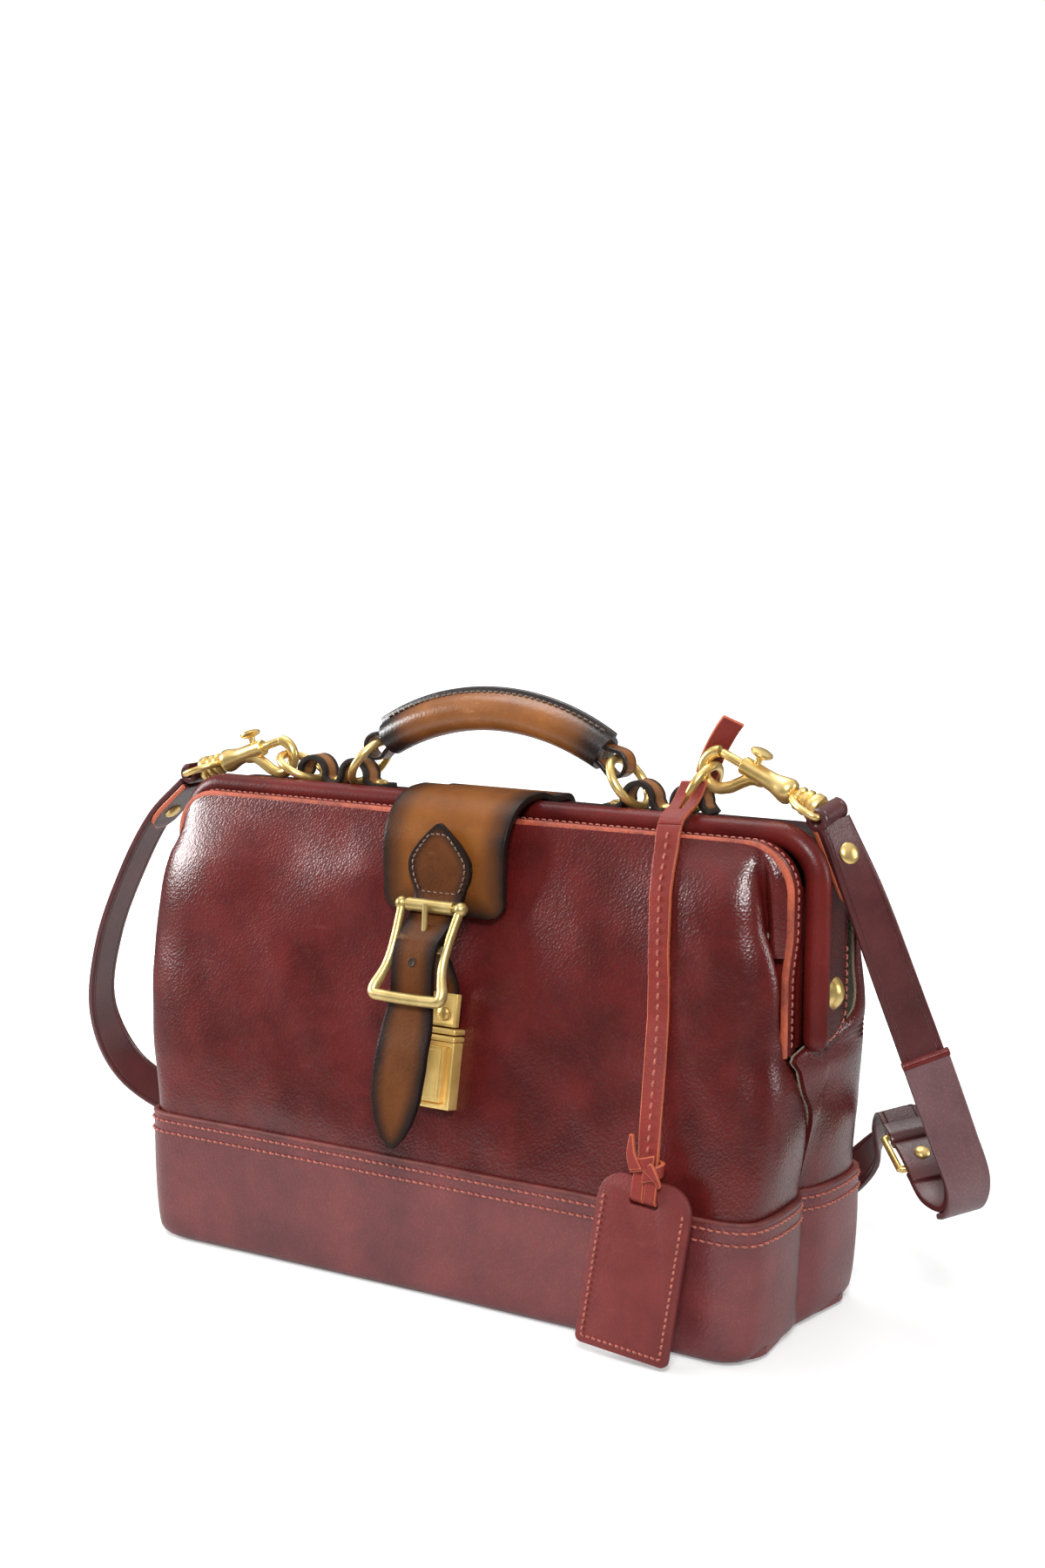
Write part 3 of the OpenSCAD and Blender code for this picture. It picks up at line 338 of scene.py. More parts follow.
class Wire:
    def __init__(self, finish, socket):
        self.finish = finish
        self.socket = socket

    def math(self, kind, a, b):
        return self.finish.add("ShaderNodeMath", {"operation": kind}, {0: a, 1: b})

    def __add__(self, other):
        return self.math("ADD", self, other)

    def __radd__(self, other):
        return self.math("ADD", other, self)

    def __sub__(self, other):
        return self.math("SUBTRACT", self, other)

    def __rsub__(self, other):
        return self.math("SUBTRACT", other, self)

    def __mul__(self, other):
        return self.math("MULTIPLY", self, other)

    def __rmul__(self, other):
        return self.math("MULTIPLY", other, self)


class Finish:
    def __init__(self, owner, place="Object"):
        self.owner = owner
        owner.use_nodes = True
        self.tree = owner.node_tree
        self.tree.nodes.clear()
        self.place = self.add("ShaderNodeTexCoord", out=place)

    def add(self, kind, settings=None, inputs=None, out=0):
        node = self.tree.nodes.new(kind)
        for key, value in (settings or {}).items():
            setattr(node, key, value)
        for key, value in (inputs or {}).items():
            socket = node.inputs[key]
            if isinstance(value, Wire):
                self.tree.links.new(value.socket, socket)
            elif isinstance(value, tuple) and len(value) == 3 and socket.type == "RGBA":
                socket.default_value = (*value, 1)
            else:
                socket.default_value = value
        return Wire(self, node.outputs[out]) if node.outputs else None

    def grain(self, scale, detail=3, rough=0.5, place=None):
        return self.add("ShaderNodeTexNoise", None,
                        {"Vector": place or self.place, "Scale": scale, "Detail": detail, "Roughness": rough})

    def cells(self, scale, place):
        return self.add("ShaderNodeTexVoronoi", {"feature": "SMOOTH_F1"},
                        {"Vector": place, "Scale": scale, "Smoothness": 0.35})

    def stretch(self, scale, turn=(0, 0, 0)):
        return self.add("ShaderNodeMapping", {"vector_type": "TEXTURE"},
                        {"Vector": self.place, "Rotation": turn, "Scale": scale})

    def blend(self, amount, a, b):
        return self.add("ShaderNodeMix", {"data_type": "RGBA", "clamp_factor": True},
                        {0: amount, 6: a, 7: b}, out=2)

    def window(self, value, low, high):
        return self.add("ShaderNodeMapRange", {"interpolation_type": "SMOOTHSTEP"},
                        {0: value, 1: low, 2: high, 3: 0.0, 4: 1.0})

    def mark(self, name):
        return self.add("ShaderNodeAttribute", {"attribute_name": name}, out="Fac")

    def bump(self, height, strength, distance):
        return self.add("ShaderNodeBump", None,
                        {"Height": height, "Strength": strength, "Distance": distance})

    def close(self, **sockets):
        shader = self.add("ShaderNodeBsdfPrincipled", None,
                          {key.replace("_", " "): value for key, value in sockets.items()})
        self.add("ShaderNodeOutputMaterial", None, {"Surface": shader})
        return self.owner


def leather(name, look):
    f = Finish(bpy.data.materials.new(name))
    cloud = f.grain(16, 4, 0.6)
    patch = f.grain(55, 3, 0.55)
    pores = f.grain(2600, 2, 0.6)
    pebble = f.cells(look["pebble"], f.stretch((1, 1, 1.5), (0, 0.65, 0)))
    folds = f.grain(240, 4, 0.65, f.stretch((1, 1, 1.8), (0, 0.5, 0)))
    tone = f.window(cloud * 0.6 + patch * 0.4, 0.3, 0.72)
    colour = f.blend(tone, look["dark"], look["light"])
    colour = f.blend(f.window(pebble, 0.12, 0.5) * 0.28, colour, look["deep"])
    if "burnt" in look:                          # burnished border, where the piece has an edge attribute
        border = f.mark("edge") + (patch - 0.5) * 0.6 + (cloud - 0.5) * 0.5
        if "toast" in look:
            colour = f.blend(f.window(border, 0.02, 0.75) * 0.8, colour, look["toast"])
        colour = f.blend(f.window(border, look["burnFrom"], look["burnTo"]), colour, look["burnt"])
    scuff = f.window(f.grain(90, 5, 0.7, f.stretch((2.8, 1, 0.6))), 0.63, 0.74)
    colour = f.blend(scuff * look["scuff"], colour, look["worn"])
    height = pebble * look["pebbleDeep"] + pores * 0.06 + folds * look["foldDeep"]
    rough = look["rough"] + (cloud - 0.5) * 0.14 + pebble * 0.1 + scuff * 0.1
    return f.close(Base_Color=colour, Roughness=rough, Normal=f.bump(height, look["bump"], 0.0006),
                   Specular_IOR_Level=look["specular"])


def metal(name, look):
    f = Finish(bpy.data.materials.new(name))
    cloud = f.grain(45, 4, 0.6)
    fine = f.grain(420, 3, 0.6)
    colour = f.blend(f.window(cloud, 0.35, 0.68), look["dark"], look["light"])
    colour = f.blend(f.window(fine, 0.6, 0.78) * 0.14, colour, look["tarnish"])
    return f.close(Base_Color=colour, Metallic=look["metal"], Normal=f.bump(fine, 0.04, 0.0002),
                   Roughness=look["rough"] + (cloud - 0.5) * 0.14)


def thread(name, look):
    f = Finish(bpy.data.materials.new(name))
    twist = f.grain(1500, 2, 0.5)
    colour = f.blend(f.window(twist, 0.35, 0.7), look["dark"], look["light"])
    return f.close(Base_Color=colour, Roughness=0.62, Normal=f.bump(twist, 0.5, 0.0003), Sheen_Weight=0.15)


def rawEdge(name, look):
    f = Finish(bpy.data.materials.new(name))
    fibre = f.grain(900, 4, 0.7)
    cloud = f.grain(60, 3, 0.6)
    colour = f.blend(f.window(cloud * 0.6 + fibre * 0.4, 0.35, 0.65), look["dark"], look["light"])
    return f.close(Base_Color=colour, Roughness=0.58, Normal=f.bump(fibre, 0.6, 0.0004))


def twill(name, look):
    f = Finish(bpy.data.materials.new(name))
    ribs = f.add("ShaderNodeTexWave", {"wave_type": "BANDS", "bands_direction": "DIAGONAL"},
                 {"Vector": f.place, "Scale": 420, "Distortion": 0.6, "Detail": 2})
    cloud = f.grain(30, 3, 0.6)
    colour = f.blend(f.window(cloud, 0.3, 0.7), look["dark"], look["light"])
    colour = f.blend(ribs * 0.35, colour, look["rib"])
    return f.close(Base_Color=colour, Roughness=0.85, Normal=f.bump(ribs, 0.5, 0.0003), Sheen_Weight=0.2)


# red leathers, from the glossy body to the matt tag
oxblood = dict(dark=(0.055, 0.0042, 0.0042), light=(0.138, 0.012, 0.0108), deep=(0.032, 0.003, 0.003),
               worn=(0.27, 0.05, 0.042), scuff=0.1, rough=0.24, specular=0.55,
               pebble=1000, pebbleDeep=0.6, foldDeep=0.25, bump=0.36)
bodyLeather = leather("oxblood leather", oxblood)
# band leather: maroon lifted to a greyer lilac, partly its own tone and partly a painted reflection of the
# white floor
bandLeather = leather("band leather", dict(
    oxblood, dark=(0.1, 0.019, 0.021), light=(0.2, 0.037, 0.039), rough=0.33))
rollLeather = leather("roll leather", dict(
    oxblood, dark=(0.066, 0.0056, 0.005), light=(0.152, 0.012, 0.009), rough=0.3, specular=0.25, bump=0.3,
    pebbleDeep=0.35))
coverLeather = leather("cover leather", dict(
    oxblood, dark=(0.035, 0.006, 0.006), light=(0.085, 0.012, 0.011), rough=0.2, bump=0.2, pebbleDeep=0.3))
tagLeather = leather("tag leather", dict(
    oxblood, dark=(0.1, 0.013, 0.012), light=(0.185, 0.026, 0.023), deep=(0.08, 0.012, 0.011), rough=0.42,
    specular=0.35, bump=0.35))
tagStrapLeather = leather("tag strap leather", dict(
    oxblood, dark=(0.14, 0.014, 0.01), light=(0.25, 0.027, 0.019), deep=(0.12, 0.015, 0.012),
    burnt=(0.42, 0.1, 0.045), burnFrom=0.62, burnTo=0.96, rough=0.42, specular=0.3, bump=0.3))
lapLeather = leather("strap lap leather", dict(
    oxblood, dark=(0.06, 0.011, 0.011), light=(0.1, 0.018, 0.016), burnt=(0.4, 0.09, 0.04), burnFrom=0.5,
    burnTo=0.9, bump=0.3))
strapLeather = leather("strap leather", dict(
    oxblood, dark=(0.054, 0.0125, 0.013), light=(0.11, 0.023, 0.023), deep=(0.025, 0.004, 0.004), rough=0.26,
    bump=0.25, pebbleDeep=0.3))
# second strap layer: dark red leather greyed towards lilac by a painted reflection of the bright ceiling
sheenPaintedLayerLeather = leather("second strap layer", dict(
    oxblood, dark=(0.1, 0.045, 0.05), light=(0.17, 0.085, 0.092), rough=0.3, bump=0.25, pebbleDeep=0.3))

# tan leathers with burnished borders
cognac = dict(dark=(0.1, 0.029, 0.005), light=(0.24, 0.08, 0.011), deep=(0.13, 0.04, 0.009),
              worn=(0.5, 0.24, 0.085), scuff=0.22, burnt=(0.012, 0.007, 0.006), burnFrom=0.62, burnTo=1.02,
              toast=(0.036, 0.0125, 0.005), rough=0.36, specular=0.15,
              pebble=950, pebbleDeep=0.35, foldDeep=0.35, bump=0.3)
flapLeather = leather("cognac leather", cognac)
closureLeather = leather("closure leather", dict(
    cognac, dark=(0.046, 0.013, 0.003), light=(0.118, 0.037, 0.008), burnFrom=0.5, burnTo=0.98,
    toast=(0.024, 0.009, 0.005)))
gripLeather = leather("grip leather", dict(
    cognac, dark=(0.14, 0.045, 0.009), light=(0.36, 0.13, 0.03), rough=0.27, specular=0.55, burnFrom=0.4,
    burnTo=0.95))
# dark leather, also used as painted shade for the closure strap's hole
darkLeatherAndHoleShade = leather("dark leather", dict(
    cognac, dark=(0.03, 0.017, 0.013), light=(0.06, 0.034, 0.024), deep=(0.015, 0.009, 0.007),
    worn=(0.12, 0.07, 0.05), burnt=(0.01, 0.007, 0.006), rough=0.45, bump=0.5))
ringStrapLeather = leather("ring strap leather", dict(
    cognac, dark=(0.2, 0.085, 0.03), light=(0.34, 0.16, 0.065), burnt=(0.022, 0.016, 0.014), burnFrom=0.3,
    burnTo=0.65, rough=0.45))

# edges, threads, cloth and metals
orangeEdge = rawEdge("raw edge", dict(dark=(0.17, 0.025, 0.012), light=(0.42, 0.08, 0.032)))
bandEdgeLeather = rawEdge("band edge", dict(dark=(0.075, 0.011, 0.01), light=(0.17, 0.03, 0.022)))
redThread = thread("red thread", dict(dark=(0.22, 0.045, 0.03), light=(0.46, 0.12, 0.075)))
brownThread = thread("brown thread", dict(dark=(0.09, 0.05, 0.034), light=(0.24, 0.15, 0.1)))
liningCloth = twill("lining cloth", dict(
    dark=(0.2, 0.15, 0.1), light=(0.3, 0.24, 0.165), rib=(0.15, 0.115, 0.075)))
brassMetal = metal("brass", dict(
    dark=(0.66, 0.45, 0.14), light=(0.9, 0.66, 0.27), tarnish=(0.46, 0.3, 0.1), rough=0.3, metal=0.8))
antiqueBrass = metal("antique brass", dict(
    dark=(0.46, 0.34, 0.12), light=(0.7, 0.54, 0.24), tarnish=(0.28, 0.2, 0.08), rough=0.38, metal=0.8))
lockBrass = metal("lock brass", dict(
    dark=(0.7, 0.47, 0.14), light=(0.98, 0.7, 0.25), tarnish=(0.42, 0.28, 0.1), rough=0.34, metal=0.5))
steelStrip = metal("steel strip", dict(
    dark=(0.36, 0.36, 0.37), light=(0.55, 0.55, 0.56), tarnish=(0.24, 0.23, 0.22), rough=0.36, metal=1.0))
print("materials made")


def dress(piece, material, body=None, replaces=()):
    piece.data.materials.clear()
    piece.data.materials.append(material)
    if body:
        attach(piece, body)
    if replaces:
        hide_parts(*replaces)
    return piece


def frontBlend(piece):                           # bakes the piece's placement into its mesh
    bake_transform(piece)


def hookBlend(piece):                      # bakes the piece's placement into its mesh
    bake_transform(piece)


# camera

view = dict(place=(555.3, -838.0, 356.7), target=(17.3, 0, 227.4), lens=51.08)
camera = bpy.data.objects.new("camera", bpy.data.cameras.new("camera"))
bpy.context.scene.collection.objects.link(camera)
camera.location = Vector(view["place"]) * mm
aim = (Vector(view["target"]) - Vector(view["place"])) * mm
camera.rotation_euler = aim.to_track_quat("-Z", "Y").to_euler()
camera.data.lens = view["lens"]
camera.data.sensor_width = 36
camera.data.clip_end = 50
bpy.context.scene.camera = camera
bpy.context.scene.view_settings.view_transform = "Standard"
print("camera set")


# shoulder strap: two flat cords that follow the solids' routes

strapLook = dict(width=19, thick=3, groove=2.2, rings=150, lap=38, lapDrop=3.05, loopRadius=3.55,
                 rivet=[(0, 4.6), (0.4, 4.7), (1.0, 4.3), (1.6, 3.3), (2.0, 1.8), (2.1, 0.5)],
                 rivetRing={"left": 5, "right": 11})
# routes: place and width direction
longRoute = [(-181.2, 4, 215.8, 0, 1, 0), (-205, 6, 196, 0, 1, 0), (-228, 9, 165, 0, 1, 0),
             (-250, 13, 125, 0, 1, 0.1), (-262, 20, 85, 0, 1, 0.3), (-258, 36, 50, 0.3, 0.8, 0.6),
             (-236, 56, 28, 0.2, 0.4, 0.9), (-200, 72, 18, 0, 0.2, 1), (-150, 80, 14, 0, 0.1, 1),
             (-100, 82, 12, 0, 0, 1), (-50, 82, 12, 0, 0, 1), (0, 82, 12, 0, 0, 1), (50, 82, 13, 0, 0, 1),
             (95, 82, 20, 0, 0, 1), (135, 80, 38, 0, 0.2, 1), (160, 75, 62, 0, 0.4, 0.9),
             (176.2, 58.3, 86.3, 0.72, 0.68, 0.16), (184.1, 51.2, 80.8, 0.72, 0.68, 0.16)]
shortRoute = [(168.6, 4, 222, 0.18, 0.9, 0.38), (172.4, 4.4, 214, 0.25, 0.88, 0.36),
              (184, 6, 188, 0.55, 0.76, 0.32), (197, 8, 155, 0.7, 0.64, 0.3), (210, 10, 122, 0.74, 0.6, 0.3),
              (221, 12, 92, 0.7, 0.66, 0.25), (226, 15, 74, 0.6, 0.76, 0.2), (222, 20, 62, 0.52, 0.85, 0.1),
              (211, 27, 62, 0.6, 0.78, 0.12), (201, 36, 69, 0.72, 0.68, 0.16)]
strapEyes = {"left": dict(bar=(-176.68, 4, 219.545), axis=(-0.94, 0, -0.342), way=(0, 1, 0)),
             "right": dict(bar=(165.753, 4, 224.573), axis=(0.906, 0, -0.423), way=(0.088, 0.978, 0.188))}


def strapSection(width, thick, groove):          # soft edges and a pressed line along each border
    w, t = width / 2, thick / 2
    top = [(-w, 0), (-w + 0.25, t * 0.72), (-w + 0.9, t),
           (-w + groove, t), (-w + groove + 0.45, t - 0.38), (-w + groove + 0.9, t)]
    low = [(w - 0.25, -t * 0.72), (w - 0.9, -t), (-w + 0.9, -t), (-w + 0.25, -t * 0.72)]
    return top + [(-a, b) for a, b in reversed(top)] + low


def strapLine(route, rings):
    places = [Vector(r[:3]) for r in route]
    wide = [Vector(r[3:]) for r in route]
    keys = lengths(places)
    spots = [keys[-1] * i / (rings - 1) for i in range(rings)]
    line = [curveAt(keys, places, s) for s in spots]
    sides, ups = [], []
    for i, s in enumerate(spots):
        along = (line[min(i + 1, rings - 1)] - line[max(i - 1, 0)]).normalized()
        side = curveAt(keys, wide, s)
        side = (side - along * side.dot(along)).normalized()
        sides.append(side)
        ups.append(along.cross(side))
    return line, sides, ups


def lapHalf(s, total):                           # rounded free end
    return 9.3 - max(0, s - total + 8) ** 2 * 0.09


def shoulderStrap(name, side, route, replaced):
    look = strapLook
    line, sides, ups = strapLine(route, look["rings"])
    piece = sweep(name, line, sides, ups, strapSection(look["width"], look["thick"], look["groove"]))
    smooth(piece, 35)
    dress(piece, strapLeather, None, replaced)
    hookBlend(piece)

    middle, axis, bar = (Vector(strapEyes[side][key]) for key in ("bar", "axis", "way"))
    across = bar.cross(axis).normalized() * bagEnds[side]
    roll, rollUp = [], []                        # the strap's end rolled over the eye's bar
    for q in range(-120, 166, 15):
        a, b = spotOn(1, q)
        rollUp.append(axis * a + across * b)
        roll.append(middle + rollUp[-1] * look["loopRadius"])
    loop = sweep("strapLoop." + side, roll, [bar] * len(roll), rollUp,
                 strapSection(look["width"] + 0.4, look["thick"] - 0.1, look["groove"]))
    smooth(loop, 35)
    dress(loop, strapLeather, side + "_eye")

    lapRings = sum(s < look["lap"] for s in lengths(line))
    under = [p - u * bagEnds[side] * look["lapDrop"] for p, u in zip(line[:lapRings], ups)]
    lap = ribbon("strapLap." + side, under, sides, lapHalf, thick=2.6, reach=1.2, across=9,
                 ends=(False, True))
    dress(lap, lapLeather, None)
    hookBlend(lap)
    [p * mm for p in line]

    rivets = []
    spot = look["rivetRing"][side]
    for way in (1, -1):
        dome = turned("rivet", look["rivet"], sides=24, axis="Z")
        face = ups[spot] * way
        lift = 1.35 if way == bagEnds[side] else 4.2
        rivets.append(stand(dome, line[spot] + face * lift, facingTurn(face)))
    pair = join("strapRivets." + side, rivets)
    smooth(pair)
    dress(pair, brassMetal, None, ["strap_rivets"] if side == "left" else ())
    hookBlend(pair)
    return line, sides, ups


longLine = shoulderStrap("shoulderStrapLong", "left", longRoute, ["shoulder_strap_long"])[0]
shortStrap = shoulderStrap("shoulderStrapShort", "right", shortRoute, ["shoulder_strap_short"])
shortLine, shortSides, shortUps = shortStrap

# second layer of the short strap, from its keeper edge down into the turn
secondLook = dict(start=78, stop=132, lift=2.9, half=10.2, thick=2.6,
                  edgeLift=3.4, edgeAt=(-10.3, -5, 0, 5, 10.3), edgeRadius=1.9)
start, stop = secondLook["start"], secondLook["stop"]
layer = [p + u * secondLook["lift"] for p, u in zip(shortLine[start:stop], shortUps[start:stop])]
second = ribbon("strapSecondLayer", layer, shortSides[start:stop], secondLook["half"],
                thick=secondLook["thick"], reach=1.0, ends=(True, False), bevel=0.8)
# the layer's lilac-grey tone is a painted reflection on its red leather
dress(second, sheenPaintedLayerLeather, "bag")
edgeMiddle = shortLine[start] + shortUps[start] * secondLook["edgeLift"]
keeperRun = [edgeMiddle + shortSides[start] * x for x in secondLook["edgeAt"]]
keeperEdge = bentBar("strapKeeperEdge", keeperRun, secondLook["edgeRadius"])
smooth(keeperEdge, 60)
dress(keeperEdge, rollLeather, "bag")

# where the two straps meet: wire frame under a riveted leather chape; runs are (along, up)
meetLook = dict(place=(199.8, 37.1, 69.8), along=(-0.659, 0.593, 0.462), across=(0.719, 0.676, 0.158),
                wire=1.6, half=11.3, rivet=[(0, 3.4), (0.5, 3.5), (1.1, 3.0), (1.6, 1.9), (1.8, 0.6)],
                strapChape=[(-8, 1.8), (-3, 2.8), (3, 3.2), (9, 3.2), (13, 2.6), (15.4, 0.4)],
                strapFarLap=[(27, 1.6), (23, 2.4), (19.5, 2.6), (17, 1.4), (16.6, -0.6)])
along, sideways = Vector(meetLook["along"]), Vector(meetLook["across"])
upward = sideways.cross(along).normalized()


def meetAt(run, high, wide=0.0):
    return Vector(meetLook["place"]) + along * run + upward * high + sideways * wide


half = meetLook["half"]
rail = [(1.4, half - 1.2), (2.2, half), (19.8, half), (20.6, half - 1.2)]
wire = [meetAt(run, 0.2, w) for run, w in rail] + [meetAt(run, 0.2, -w) for run, w in reversed(rail)]
meetFrame = bentBar("strapBuckleFrame", wire, meetLook["wire"], closed=True)
meetRivet = turned("meetRivet", meetLook["rivet"], sides=22, axis="Z")
stand(meetRivet, meetAt(5, 4.2), facingTurn(upward))
strapBuckle = join("strapBuckle", [meetFrame, meetRivet])
smooth(strapBuckle)
dress(strapBuckle, brassMetal, "bag", ["strap_buckle"])
for name, rings in (("strapChape", 26), ("strapFarLap", 18)):
    path = smoothRun([meetAt(*spot) for spot in meetLook[name]], rings)
    lap = ribbon(name, path, sideways, half=9.4, thick=2.2, reach=1.2, across=11)
    dress(lap, strapLeather, "bag")
print("shoulder strap laid:", round(lengths(longLine)[-1]), "and", round(lengths(shortLine)[-1]), "mm")


# leather body: front, back and base band as lofted shells

jawHigh = Vector(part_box("front_binding")[1]) / mm
rollHigh = Vector(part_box("frame_roll")[1]) / mm
coverHigh = Vector(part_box("back_frame_cover")[1]) / mm
jaw = dict(half=jawHigh.x, top=jawHigh.z, corner=21, foot=126, splay=0.0135)
roll = dict(half=rollHigh.x - 5.5, top=rollHigh.z - 5.5, corner=20, foot=127, y=-9, radius=5.5)
cover = dict(half=coverHigh.x, top=coverHigh.z, corner=22.5, foot=126)

# half outlines (x, y) at heights; the right end is pleated, the left end hangs full over the jaw
frontRows = {
    46: [(0, -53.6), (50, -53.8), (100, -53.9), (138, -54.2), (152, -53.6), (159.5, -48.5), (162.3, -38),
         (162.6, -22), (161, -9), (157, -0.4)],
    62: [(0, -53.6), (50, -53.8), (100, -53.9), (138, -54.4), (152, -53.9), (160, -48.8), (162.8, -38),
         (163, -22), (161.2, -9), (157, -0.4)],
    90: [(0, -48.7), (50, -49.5), (100, -50.6), (134, -51.8), (150, -51.2), (160.5, -46.4), (165.4, -37),
         (166, -22), (164.4, -9), (161.4, -0.8)],
    110: [(0, -44.9), (50, -45.7), (100, -47.4), (132, -49.6), (148.2, -49.2), (158.8, -44.8),
          (164.4, -35.8), (165.2, -21.6), (163.4, -10.4), (160, -1.4)],
    126: [(0, -42.2), (50, -43), (100, -45), (129, -47.6), (145.5, -47.4), (156, -43.2), (161.6, -35.6),
          (162, -24.6), (158, -14), (152.5, -4)],
    140: [(0, -39.4), (50, -40.4), (100, -42.4), (128, -45.4), (143.6, -45.8), (155.2, -42.2),
          (161.4, -35.2), (162, -29.4), (156.8, -25.4), (148.5, -22.4)],
    155: [(0, -36.4), (50, -37.5), (98, -39.6), (126, -42.8), (141.8, -43.8), (153.2, -41.2), (160, -35.4),
          (161.4, -30), (156.4, -26), (148, -22.8)],
    168: [(0, -34), (50, -35.1), (96, -37), (124, -40.6), (139, -42), (150, -40.2), (156.6, -35.2),
          (158.2, -30.2), (155, -26.2), (150.4, -23.2)],
    180: [(0, -31.7), (50, -32.8), (94, -34.6), (120, -37.8), (135, -39.4), (145.6, -38.6), (152, -35),
          (153.8, -30.6), (153, -26.6), (153.4, -24.2)],
    192: [(0, -29.4), (50, -30.3), (92, -32), (117, -35), (132, -36.8), (142.6, -36.6), (149.4, -33.8),
          (151.8, -30.2), (151.6, -26.6), (152.4, -24.2)],
    203: [(0, -27.4), (50, -28), (90, -29), (113, -30.8), (128, -32.2), (138, -32.6), (145, -31.4),
          (148.8, -29), (150.2, -26.8), (152, -25)],
    208: [(0, -26.7), (48, -27), (87, -27.6), (110, -28.4), (124, -29), (134, -29.4), (141.4, -29.2),
          (146, -28.4), (149, -27.4), (151, -26.6)],
    212: [(0, -26.1), (47, -26.3), (84, -26.6), (106, -26.8), (119, -27), (128.6, -27.1), (136, -27.1),
          (141.6, -27), (146, -26.7), (149, -26.4)],
    214.4: [(0, -25.7), (46, -25.8), (82, -25.9), (102, -26), (114, -26), (123, -26), (130.6, -26),
            (136.6, -26), (141.4, -25.9), (144.6, -25.8)],
}
# the left end differs from the third point on, above the band
leftEnds = {
    90: [(100, -50.6), (134, -52), (152, -51.6), (164, -47.4), (170, -39), (171.2, -25), (167.4, -11),
         (158.5, -0.4)],
    110: [(100, -47.2), (133, -48.8), (152, -48.6), (165, -45), (172, -37.6), (173.4, -25), (168.4, -11),
          (158.5, -0.6)],
    126: [(100, -44.6), (132, -46.2), (151.6, -46), (165.2, -43), (172.4, -37), (174, -27.6), (169, -16),
          (158, -5)],
    140: [(100, -42), (131.6, -43.6), (151.2, -43.4), (164.6, -40.8), (172, -35.6), (173.8, -29.6),
          (170.6, -25.4), (163.8, -23.6)],
    155: [(99, -39), (131, -40.6), (150.4, -40.5), (163.4, -38.4), (170.6, -34), (172.4, -29),
          (169.4, -25.6), (163.2, -24.2)],
    168: [(98, -36.5), (130, -38), (149, -38), (161.4, -36.2), (168.4, -32.4), (170.2, -28.4),
          (167.6, -25.6), (162.9, -24.6)],
    180: [(97, -34), (128.6, -35.3), (147, -35.4), (158.8, -34), (165.2, -31), (167, -28), (165.4, -26),
          (162.6, -25.2)],
    192: [(96, -31.2), (126.4, -32.2), (144, -32.2), (155, -31.2), (160.6, -29.2), (162.8, -27.4),
          (162.7, -26.2), (162.4, -25.6)],
    203: [(94, -28.6), (122.6, -29.2), (139.6, -29.2), (150.4, -28.6), (156.2, -27.6), (159, -26.8),
          (160.2, -26.2), (160.7, -25.7)],
    208: [(91, -27.4), (118.4, -27.6), (134.6, -27.6), (145.6, -27.3), (151.6, -26.8), (155, -26.3),
          (156.6, -26), (157.3, -25.7)],
    212: [(87, -26.5), (112.6, -26.6), (127.6, -26.6), (138.6, -26.5), (145.4, -26.3), (149.6, -26.1),
          (151.8, -25.9), (152.7, -25.7)],
    214.4: [(83, -25.9), (106.6, -25.9), (120.4, -25.9), (131, -25.9), (138, -25.8), (142.8, -25.8),
            (145.6, -25.7), (147.2, -25.6)],
}
frontLeftRows = {z: row[:2] + leftEnds.get(z, row[2:]) for z, row in frontRows.items()}
